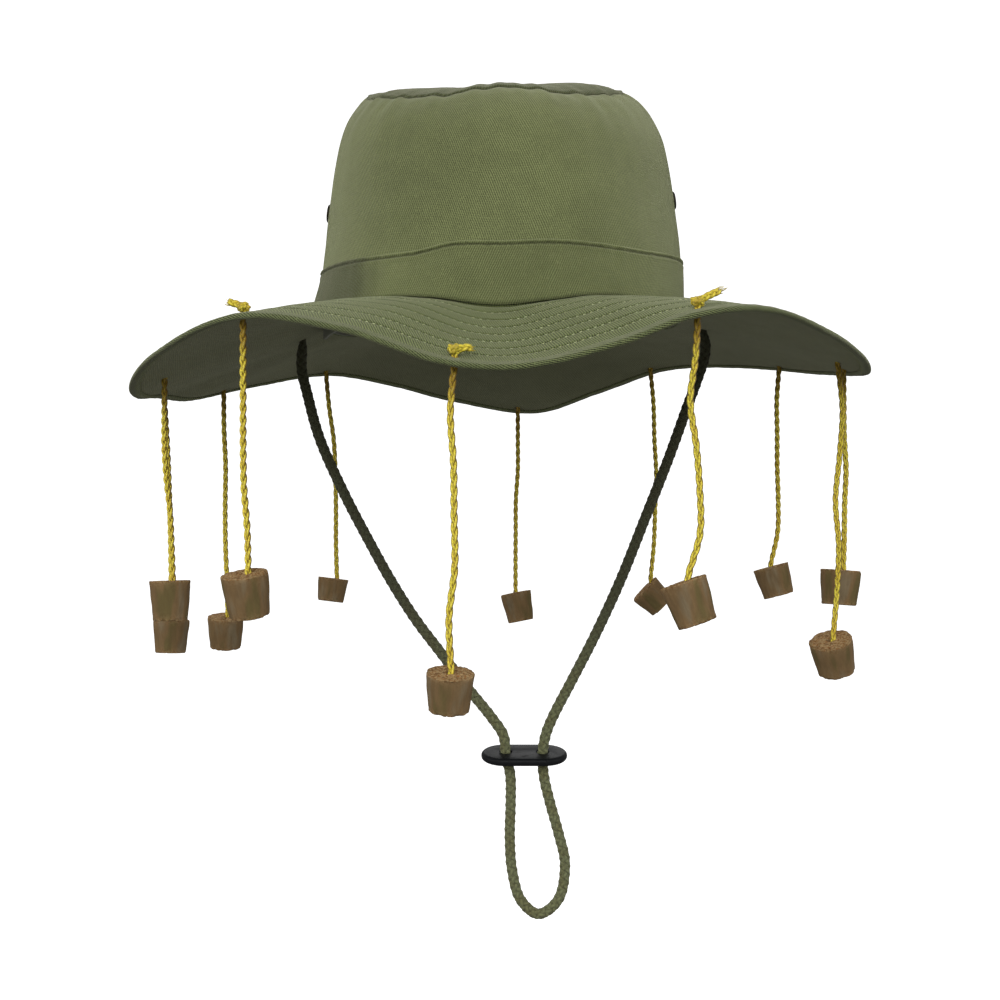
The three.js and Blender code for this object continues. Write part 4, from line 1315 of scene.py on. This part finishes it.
class HAT_OT_stitches(bpy.types.Operator):
    """Sews the rows of stitches on top of the brim"""

    bl_idname = "hat.stitches"
    bl_label = "Stitches"

    pitch = 2.9 * MM
    long = 1.25 * MM
    wide = 0.52 * MM
    thick = 0.8 * wide
    sunk = 0.28 * MM

    def execute(self, context):
        shape, _, colours = hat_of(context)
        material = yarn_material("cotton thread", colours.thread, 2, 0.9 * MM, 0.6, creased=0)
        bead = add_solid("ico_sphere", subdivisions=1, radius=0.5)
        points = np.array([vertex.co[:] for vertex in bead.data.vertices])
        faces = [list(face.vertices) for face in bead.data.polygons]
        bpy.data.objects.remove(bead)
        chance = random.Random(5)
        sewn = Shape()
        for row in BRIM_STITCH_ROWS:
            sewn.stamp(points, faces, self.places(shape, row, chance))
        finish_piece(sewn.piece("brim_stitches"), "twill", material)
        return {"FINISHED"}

    def places(self, shape, row, chance):
        """A matrix for each stitch of a row, which stretches a ball into it where it lies."""
        fine = np.linspace(-180, 180, 2400)
        line, outside, inside = (shape.brim_point(fine, row + off, 0) for off in (0, 0.01, -0.01))
        out = -unit(np.cross(np.gradient(line, axis=0), outside - inside))
        line[:, 2] += brim_sway(line) - self.sunk
        run = run_along(line)
        count = int(run[-1] / self.pitch)
        at = (np.arange(count) + 0.5) * run[-1] / count
        place = vectors_at(at, run, line)
        along = unit(vectors_at(at + MM, run, line) - place)
        up = unit(vectors_at(at, run, out))
        slant = np.array([chance.uniform(-0.14, 0.14) for _ in range(count)])[:, None]
        size = np.array([chance.uniform(0.85, 1.08) for _ in range(count)])[:, None]
        along = unit(along + unit(np.cross(up, along)) * slant)
        side = unit(np.cross(up, along))
        return np.stack(
            (along * size * self.long, side * self.wide, up * self.thick, place), axis=2
        )


class HAT_OT_crown_side(bpy.types.Operator):
    """Sews the crown's wall, soft and slightly creased, puckered under the tip seam"""

    bl_idname = "hat.crown_side"
    bl_label = "Crown side"

    around = 340
    rows = 62
    vent_radius = 2.4 * MM
    plain_foot = 24 * MM
    broad_dent = 0.9 * MM
    small_dent = 0.3 * MM
    pucker = 0.5 * MM
    seam_pull = 0.5 * MM

    def execute(self, context):
        shape, sizes, colours = hat_of(context)
        at = bearings(self.around)
        grid = shape.crown_point(at[:, None], np.linspace(0, 1, self.rows)[None] ** 0.92)
        along = np.roll(grid[:-1], -1, axis=0) - np.roll(grid[:-1], 1, axis=0)
        normals = unit(np.cross(along, np.gradient(grid[:-1], axis=1)))
        normals = np.concatenate((normals, normals[:1]))
        above = grid[..., 2]
        below_seam = shape.tip_seam_height(at)[:, None] - above
        free = ease((above - self.plain_foot) / (16 * MM)) * ease(below_seam / (8 * MM))
        vents = [(low + high) / 2 for low, high in map(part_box, VENTS)]
        for vent in vents:
            free = free * ease(np.linalg.norm(grid - np.array(vent), axis=-1) / (24 * MM))
        dents = self.broad_dent * soft_noise(grid, 48 * MM, 1)
        dents += self.small_dent * soft_noise(grid, 17 * MM, 2)
        puckers = self.pucker * soft_noise(grid, (6 * MM, 6 * MM, 40 * MM), 3)
        puckers *= np.exp(-below_seam / (9 * MM)) * ease(below_seam / (1.5 * MM))
        seam = self.seam_pull * (1 - ease(below_seam / (2.2 * MM)))
        outer = grid + normals * (free * dents + puckers - seam)[..., None]
        inner = outer - normals * sizes.crown_wall
        inner[:, 0, 2] = outer[:, 0, 2]
        inset = grid[self.around // 2, :, 1] / grid[self.around // 2, 0, 1]
        coords = wrap_coords(at, run_along(grid), shape.crown_round * inset)
        piece = sheet_piece("crown_side_cloth", outer, inner, coords)
        punch_holes(piece, vents, self.vent_radius, (0, math.pi / 2, 0))
        # Patches of painted shade on the crown.
        painted_shade_patches = [
            (shape.beside_crown(-25.0, 60 * MM, 0), 0, 55 * MM, 0.2),
            (shape.beside_crown(-48.0, 52 * MM, 0), 0, 30 * MM, 0.06),
            (shape.beside_crown(26.0, 30 * MM, 0), 0, 18 * MM, 0.14),
        ]
        material = twill_material("crown twill", colours.twill, (1, 0.42), 1.25, painted_shade_patches=painted_shade_patches)
        finish_piece(piece, "twill", material, "crown_side")
        return {"FINISHED"}


class HAT_OT_crown_tip(bpy.types.Operator):
    """Sews the oval top panel, with its edge rolled down into the tip seam"""

    bl_idname = "hat.crown_tip"
    bl_label = "Crown tip"

    around = 340
    sink = 1 * MM
    front_roundness = 1.5
    left_roundness = 8
    right_roundness = 3
    edge_rows = (0.93, 0.945, 0.958, 0.964, 0.969, 0.974, 0.979, 0.985, 0.991, 0.996, 1)
    edge_start = 0.965
    edge_drop = 0.6 * MM
    edge_thinning = 0.85 * MM
    turned_in = 0.974
    ridge = 3.4 * MM
    ridge_width = 0.008
    dent = 0.5 * MM

    def execute(self, context):
        shape, sizes, colours = hat_of(context)
        at = bearings(self.around)
        share = np.concatenate((np.linspace(0, 0.91, 16), self.edge_rows))
        rim = shape.crown_point(at, np.ones(len(at)))
        side_roundness = np.where(at > 0, self.left_roundness, self.right_roundness)
        sideways = np.sin(np.radians(at)) ** 4
        roundness = blend_between(self.front_roundness, side_roundness, sideways)[:, None]
        middle = sizes.crown_height - self.sink
        under = rim[:, None] * share[None, :, None]
        under[..., 2] = blend_between(middle, (rim[:, 2] + shape.gap)[:, None], share**roundness)
        fall = ease((share - 0.2) / 0.3) * (1 - ease((share - 0.9) / 0.1))
        under[..., 2] += self.dent * soft_noise(under, 30 * MM, 4) * fall
        over = under + UP * sizes.tip_wall
        edge = np.clip((share - self.edge_start) / (1 - self.edge_start), 0, 1)
        over[..., 2] -= self.edge_thinning * ease((share - 0.88) / 0.09)
        over[..., 2] -= self.edge_drop * (1 - np.sqrt(1 - 0.98 * edge**2))
        under[..., 2] -= self.edge_drop * ease(edge)
        under[..., 2] -= self.ridge * bell(share - self.turned_in, self.ridge_width)
        over[..., :2] *= (1 - 0.012 * edge)[None, :, None]
        under[:, -1, :2] *= 0.99
        piece = sheet_piece("crown_tip_cloth", over, under, under[..., :2])
        # The top panel's colour holds painted shade.
        material = twill_material("tip twill", colours.tip_twill_painted_shade, (1, 0.7), 0.8)
        finish_piece(piece, "twill", material, "crown_tip")
        return {"FINISHED"}


class HAT_OT_band(bpy.types.Operator):
    """Sews the band round the crown, its folded top edge stitched down and puckered"""

    bl_idname = "hat.band"
    bl_label = "Band"

    around = 560
    edge_rows = 12
    edge_height = 4.4 * MM
    lower_rows = 10
    even_from = 6 * MM
    even_to = 25 * MM
    right_flare = 2.5 * MM
    pucker = 0.42 * MM
    crease = 0.35 * MM
    fold = 0.22 * MM
    stitch_depth = 1.7 * MM
    stitch_pull = 0.7 * MM

    def execute(self, context):
        shape, sizes, colours = hat_of(context)
        at = bearings(self.around)
        top = sizes.band_height * round_value(BAND_EDGE, at)
        foot = np.maximum(
            shape.brim_height(at, (shape.gap + sizes.band_wall) / shape.brim_width) + shape.gap,
            shape.crown_foot(at) - sizes.band_wall,
        )
        fall = (top - foot)[:, None]
        down = self.rows_down(fall)
        z = top[:, None] - down
        right_side = ease((35 - np.abs(at + 85)) / 25)[:, None]
        hug = (0.55 + 0.4 * right_side) * MM * (1 - ease(down / (0.8 * fall)))
        flare = self.right_flare * ease(down / fall) * right_side
        outer = shape.beside_crown(at[:, None], z, shape.gap + sizes.band_wall - hug + flare)
        push = self.pucker * soft_noise(outer, (5 * MM, 5 * MM, 22 * MM), 5)
        push *= np.exp(-down / (6 * MM))
        push += self.crease * soft_noise(outer, (30 * MM, 30 * MM, 14 * MM), 6)
        push += self.fold * bell(down - 0.7 * MM, 0.6 * MM)
        groove = self.stitch_pull * (1 + 0.5 * soft_noise(outer, 4 * MM, 12))
        push -= groove * bell(down - self.stitch_depth, 0.45 * MM)
        push += 0.15 * MM * bell(down - 2.9 * MM, 0.8 * MM)
        push[:, 0] -= 0.5 * MM
        out = shape.ground_normal(at)[:, None]
        outer = outer + out * push[..., None]
        outer[:, 0, 2] -= 0.1 * MM
        inner = shape.beside_crown(at[:, None], z, 0.05 * MM)
        inner[:, 0] += out[:, 0] * 0.1 * MM
        coords = wrap_coords(at, down, shape.crown_round)
        piece = sheet_piece("band_cloth", outer, inner, coords)
        # Patches of painted shade on the band.
        painted_shade_patches = [
            (shape.beside_crown(-61.0, 16 * MM, 0), 20 * MM, 40 * MM, 0.66),
            (shape.beside_crown(-90.0, 14 * MM, 0), 0, 80 * MM, 0.45),
            (shape.beside_crown(24.0, 24 * MM, 0), 0, 16 * MM, 0.14),
            (shape.beside_crown(0.0, 10 * MM, 0), 0, 60 * MM, 0.15),
        ]
        # A painted highlight along the folded top edge, and painted shade along the stitched groove
        # below it.
        painted_light_stripes = [
            (0.3 * MM, 0.1 * MM, 0.7 * MM, 0.25, 1.7),
            (self.stitch_depth, 0.1 * MM, 0.75 * MM, 0.55, 0.12),
        ]
        material = twill_material(
            "band twill", colours.twill, (1, 0.45), 1.1, painted_shade_patches=painted_shade_patches, painted_light_stripes=painted_light_stripes
        )
        finish_piece(piece, "twill", material, "band")
        return {"FINISHED"}

    def rows_down(self, fall):
        """How far below the top edge each row lies: close rows at the edge, then even ones."""
        edge = np.linspace(0, self.edge_height, self.edge_rows)
        even = np.linspace(self.even_from, self.even_to, self.lower_rows) - self.edge_height
        lower = self.edge_height + (fall - self.edge_height) * even / even[-1]
        return np.concatenate((np.broadcast_to(edge, (len(fall), self.edge_rows)), lower), axis=1)


class HAT_OT_sweatband(bpy.types.Operator):
    """Sews the plain strip inside the head opening, which sags at the wearer's right front"""

    bl_idname = "hat.sweatband"
    bl_label = "Sweatband"

    around = 240
    rows = 14
    most_sag = 2.2
    wave = 0.5 * MM

    def execute(self, context):
        shape, sizes, colours = hat_of(context)
        at = bearings(self.around)
        sag = self.most_sag * ease((45 - np.abs(at + 55)) / 25)
        foot = (shape.crown_foot(at) - sizes.brim_wall - sizes.sweatband_drop * sag)[:, None]
        share = np.linspace(0, 1, self.rows)[None] ** 1.6
        z = blend_between(foot, sizes.sweatband_height, share)
        outer = shape.beside_crown(at[:, None], z, -(sizes.crown_wall + shape.gap))
        waves = soft_noise(outer, (14 * MM, 14 * MM, 40 * MM), 7)
        out = shape.ground_normal(at)[:, None]
        outer = outer - out * (np.abs(waves) * self.wave * ease(share * 4))[..., None]
        inner = outer - out * sizes.band_wall
        coords = wrap_coords(at, z - foot, shape.crown_round)
        piece = sheet_piece("sweatband_strip", outer, inner, coords)
        # Where the hem's painted highlight lies, at the wearer's right front.
        bright_spot = shape.beside_crown(-52.0, -7 * MM, 0)
        material = lining_material("sweatband cotton", colours.lining, bright_spot)
        finish_piece(piece, "lining", material, "sweatband")
        return {"FINISHED"}


def in_stitch_row(shape, reach, width):
    """1 where a reach lies in a row of the brim's stitches, falling to 0 past a width."""
    return sum(bell((reach - row) * shape.brim_width, width) for row in BRIM_STITCH_ROWS)


def brim_sway(points):
    """How far the brim's cloth strays up and down."""
    return 0.5 * MM * soft_noise(points, 40 * MM, 9)


class HAT_OT_brim(bpy.types.Operator):
    """Sews the waved brim with its rows of stitches"""

    bl_idname = "hat.brim"
    bl_label = "Brim"

    around = 420
    groove_depth = 0.42 * MM
    groove_width = 0.55 * MM
    seam_depth = 1.1 * MM
    seam_width = 1.3 * MM
    ripple = 0.22 * MM
    crease = 0.21 * MM
    seam_rows = (0, 0.01, 0.018, 0.026, 0.035, 0.045, 0.06, 0.08)
    edge_rows = (0.93, 0.955)
    near_stitches = (-1.5, -0.75, -0.35, 0, 0.35, 0.75, 1.5, 3.2, 4.9, 6.6)

    def execute(self, context):
        shape, sizes, colours = hat_of(context)
        at = bearings(self.around)
        reach = self.rows(shape)
        top = shape.brim_point(at[:, None], reach[None], 0)
        bottom = shape.brim_point(at[:, None], reach[None], sizes.brim_wall)
        coords = self.flat_coords(top)
        free = ease(reach / 0.08) * (1 - ease((reach - 0.86) / 0.07))
        ripple = self.ripple * soft_noise(top, (7 * MM, 7 * MM, 30 * MM), 8) * free
        sway = brim_sway(top) * free
        creases = self.crease * soft_noise(bottom, (9 * MM, 16 * MM, 30 * MM), 10) * free
        groove = self.groove_depth * in_stitch_row(shape, reach, self.groove_width)
        front = 0.25 + 0.75 * ease((50 - np.abs(at - 5)) / 25)
        seam = self.seam_depth * bell(self.from_band(shape, reach), self.seam_width)
        top[..., 2] += sway + ripple - groove - seam * front[:, None]
        bottom[..., 2] += sway + creases
        piece = sheet_piece("brim_cloth", top, bottom, coords)
        holes = [shape.string_hole(cork, 0) for cork in CORKS]
        punch_holes(piece, holes, sizes.string_width / 2)
        self.mark_seams(shape, piece.data)
        # Sewn darkens the stitch rows and the band's seam with painted shade.
        material = twill_material("brim twill", colours.brim_twill, (1, 0.25), 2.3, sewn=0.6)
        finish_piece(piece, "twill", material, "brim")
        under = twill_material("brim lining twill", colours.underside, (1, 0.25), 0.5)
        piece.data.materials.append(under)
        for face in piece.data.polygons:
            face.material_index = int(face.normal.z < 0)
        return {"FINISHED"}

    def rows(self, shape):
        """The reach of each row of points, close together at the seam and the stitches."""
        inner_edge = -shape.sizes.crown_wall / shape.brim_width
        outer_edge = shape.reach_inside(shape.sizes.binding_wall + shape.gap)
        near = np.array(self.near_stitches) * MM / shape.brim_width
        stitched = [row + step for row in BRIM_STITCH_ROWS for step in near]
        reach = [inner_edge, *self.seam_rows, *stitched, *self.edge_rows, outer_edge]
        return np.array(sorted(r for r in reach if r <= outer_edge))

    def from_band(self, shape, reach):
        """How far out from the band's foot a reach lies."""
        return reach * shape.brim_width - shape.gap - shape.sizes.band_wall

    def mark_seams(self, shape, mesh):
        """Keeps for each point how deep it lies in a row of stitches or in the band's seam, where
        the brim's material paints shade.
        """
        sizes = shape.sizes
        x, y, _ = read_values(mesh.vertices, "co").T
        wider = sizes.brim_half_width - sizes.crown_half_width
        longer = sizes.brim_half_length - sizes.crown_half_length
        reach = np.full(len(x), 0.5)
        for _ in range(8):
            wide = sizes.crown_half_width + wider * reach
            long = sizes.crown_half_length + longer * reach
            over = (x / wide) ** 2 + (y / long) ** 2 - 1
            reach += over / 2 / (x**2 * wider / wide**3 + y**2 * longer / long**3)
        deep = in_stitch_row(shape, reach, 0.6 * MM) + bell(self.from_band(shape, reach), MM)
        keep_shares(mesh, "seam_shade", deep)

    def flat_coords(self, grid):
        """The brim laid out flat, as its cloth was cut."""
        seam = grid[:, :1, :2]
        level = np.linalg.norm(grid[..., :2] - seam, axis=-1, keepdims=True)
        run = run_along(grid)[..., None]
        stretch = np.where(level > 1e-9, run / np.maximum(level, 1e-9), 1)
        return seam + (grid[..., :2] - seam) * stretch


class HAT_OT_binding(bpy.types.Operator):
    """Folds the binding round the brim's edge"""

    bl_idname = "hat.binding"
    bl_label = "Brim binding"

    around = 760
    nose_steps = 11
    slack = 0.1 * MM
    puff = 0.1 * MM
    swell = 0.16 * MM
    edge_round = 0.25 * MM

    def execute(self, context):
        shape, sizes, colours = hat_of(context)
        at = bearings(self.around)
        flap, wall = sizes.binding_flap, sizes.binding_wall
        middle = sizes.brim_wall / 2
        half = middle + self.slack + wall
        outer, inner = self.section(flap, wall, half)
        ring = np.array([*outer, *inner]) + (0, middle)
        grid = shape.brim_point(at[:, None], shape.reach_inside(ring[:, 0])[None], ring[:, 1][None])
        swell = self.swell * soft_noise(grid, (4 * MM, 4 * MM, 60 * MM), 11)
        swell[:, 0] = 0
        swell[:, len(outer) - 1:] = 0
        grid[..., 2] += swell * np.where(ring[:, 1] < middle, 1, -1)
        run = run_along(ring)
        around = ellipse_round(sizes.brim_half_width, sizes.brim_half_length)
        tape = Shape()
        tape.grid(grid[:-1], wrap_coords(at, np.append(run, run[-1] + wall), around))
        piece = tape.piece("brim_binding_tape")
        # The stripe is painted shade on the lower half of the tape's turn under the brim's edge.
        material = twill_material(
            "binding twill", colours.binding, (0.44, -1), 2.2, 0.78 * MM,
            painted_light_stripes=[(7.7 * MM, 0.9 * MM, 2.3 * MM, 0.65, 0.2)],
        )
        finish_piece(piece, "twill", material, "brim_binding")
        return {"FINISHED"}

    def section(self, flap, wall, half):
        """The tape's outer and inner side across the fold, as distances inside the brim's edge
        and below the middle of its cloth."""
        turn = np.linspace(math.pi / 2, -math.pi / 2, self.nose_steps)
        nose = [(half * 0.95 * (1 - math.cos(a)), -half * math.sin(a)) for a in turn]
        steps = np.linspace(flap, half, 5)[:-1]
        thick = half + self.puff * np.array((0, 1, 1, 0))
        thick[0] -= self.edge_round
        upper = list(zip(steps, -thick))
        lower = list(zip(steps, thick))
        inside = half - wall
        inner = [(flap, inside), (2 * wall, inside), (wall, inside)]
        inner += [(along, -below) for along, below in reversed(inner)]
        return [*upper, *nose, *reversed(lower)], inner


class HAT_OT_eyelets(bpy.types.Operator):
    """Turns the two rolled vent eyelets"""

    bl_idname = "hat.eyelets"
    bl_label = "Eyelets"

    bore = 2.0 * MM
    barrel = 2.9 * MM
    flange = 4.3 * MM
    seat = 0.3 * MM
    rise = 1.35 * MM
    inside = -2.7 * MM

    def execute(self, context):
        shape, _, colours = hat_of(context)
        material = metal_material("dark brass", colours.metal)
        for name, bearing in VENTS.items():
            eyelet = self.turn_ring(f"{name}_ring")
            low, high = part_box(name)
            rise = shape.crown_rise(bearing, (low.z + high.z) / 2)
            here = shape.crown_point(bearing, rise)
            behind, ahead = (shape.crown_point(bearing + turn, rise) for turn in (-1, 1))
            under, over = (shape.crown_point(bearing, rise + step) for step in (-0.02, 0.02))
            out = Vector(unit(np.cross(ahead - behind, over - under)))
            turn = out.to_track_quat("Z", "Y").to_matrix().to_4x4()
            place_mesh(eyelet, Matrix.Translation(here) @ turn)
            finish_piece(eyelet, "eyelet_metal", material, name)
        return {"FINISHED"}

    def turn_ring(self, name):
        """A circle pulled up, out and back round to its start as a closed ring."""
        ring = add_solid("circle", vertices=48, radius=self.bore, location=(0, 0, 0))
        ring.name = name
        roll = (self.flange - self.bore) / 2
        middle = self.bore + roll
        steps = [
            (middle - roll * math.cos(a), blend_between(self.seat, self.rise, math.sin(a)))
            for a in np.linspace(0, math.pi, 9)
        ]
        steps += [(self.barrel, self.seat), (self.barrel, self.inside)]
        bpy.ops.object.mode_set(mode="EDIT")
        bpy.ops.mesh.select_mode(type="EDGE")
        bpy.ops.mesh.select_all(action="SELECT")
        bpy.ops.transform.translate(value=(0, 0, self.inside))
        radius, level = self.bore, self.inside
        for next_radius, next_level in steps:
            bpy.ops.mesh.extrude_region_move()
            scale = next_radius / radius
            bpy.ops.transform.resize(value=(scale, scale, 1), center_override=(0, 0, level))
            bpy.ops.transform.translate(value=(0, 0, next_level - level))
            radius, level = next_radius, next_level
        bpy.ops.object.mode_set(mode="OBJECT")
        mend_mesh(ring.data, merge=0.001 * MM, bridge=True)
        select_only(ring)
        bpy.ops.object.shade_smooth_by_angle(angle=SHARP)
        return ring


class HAT_PT_panel(bpy.types.Panel):
    """Lists the hat's sizes, colours and pieces"""

    bl_idname = "HAT_PT_panel"
    bl_label = "Cork Hat"
    bl_space_type = "VIEW_3D"
    bl_region_type = "UI"
    bl_category = "Cork Hat"

    def draw(self, context):
        for operator in OPERATORS:
            self.layout.operator(operator.bl_idname)
        for group in (context.scene.hat_sizes, context.scene.hat_colours):
            box = self.layout.box()
            for name in group.bl_rna.properties.keys():
                if name not in ("rna_type", "name"):
                    box.prop(group, name)


OPERATORS = [
    HAT_OT_stage,
    HAT_OT_slider,
    HAT_OT_chin_cord,
    HAT_OT_corks,
    HAT_OT_knots,
    HAT_OT_strings,
    HAT_OT_stitches,
    HAT_OT_crown_side,
    HAT_OT_crown_tip,
    HAT_OT_band,
    HAT_OT_sweatband,
    HAT_OT_brim,
    HAT_OT_binding,
    HAT_OT_eyelets,
]
CLASSES = [HatSizes, HatColours, *OPERATORS, HAT_PT_panel]


def register():
    for item in CLASSES:
        bpy.utils.register_class(item)
    bpy.types.Scene.hat_sizes = bpy.props.PointerProperty(type=HatSizes)
    bpy.types.Scene.hat_colours = bpy.props.PointerProperty(type=HatColours)


def unregister():
    del bpy.types.Scene.hat_colours
    del bpy.types.Scene.hat_sizes
    for item in reversed(CLASSES):
        bpy.utils.unregister_class(item)


def main():
    register()
    for operator in OPERATORS:
        group, name = operator.bl_idname.split(".")
        getattr(getattr(bpy.ops, group), name)()


if __name__ == "__main__":
    main()
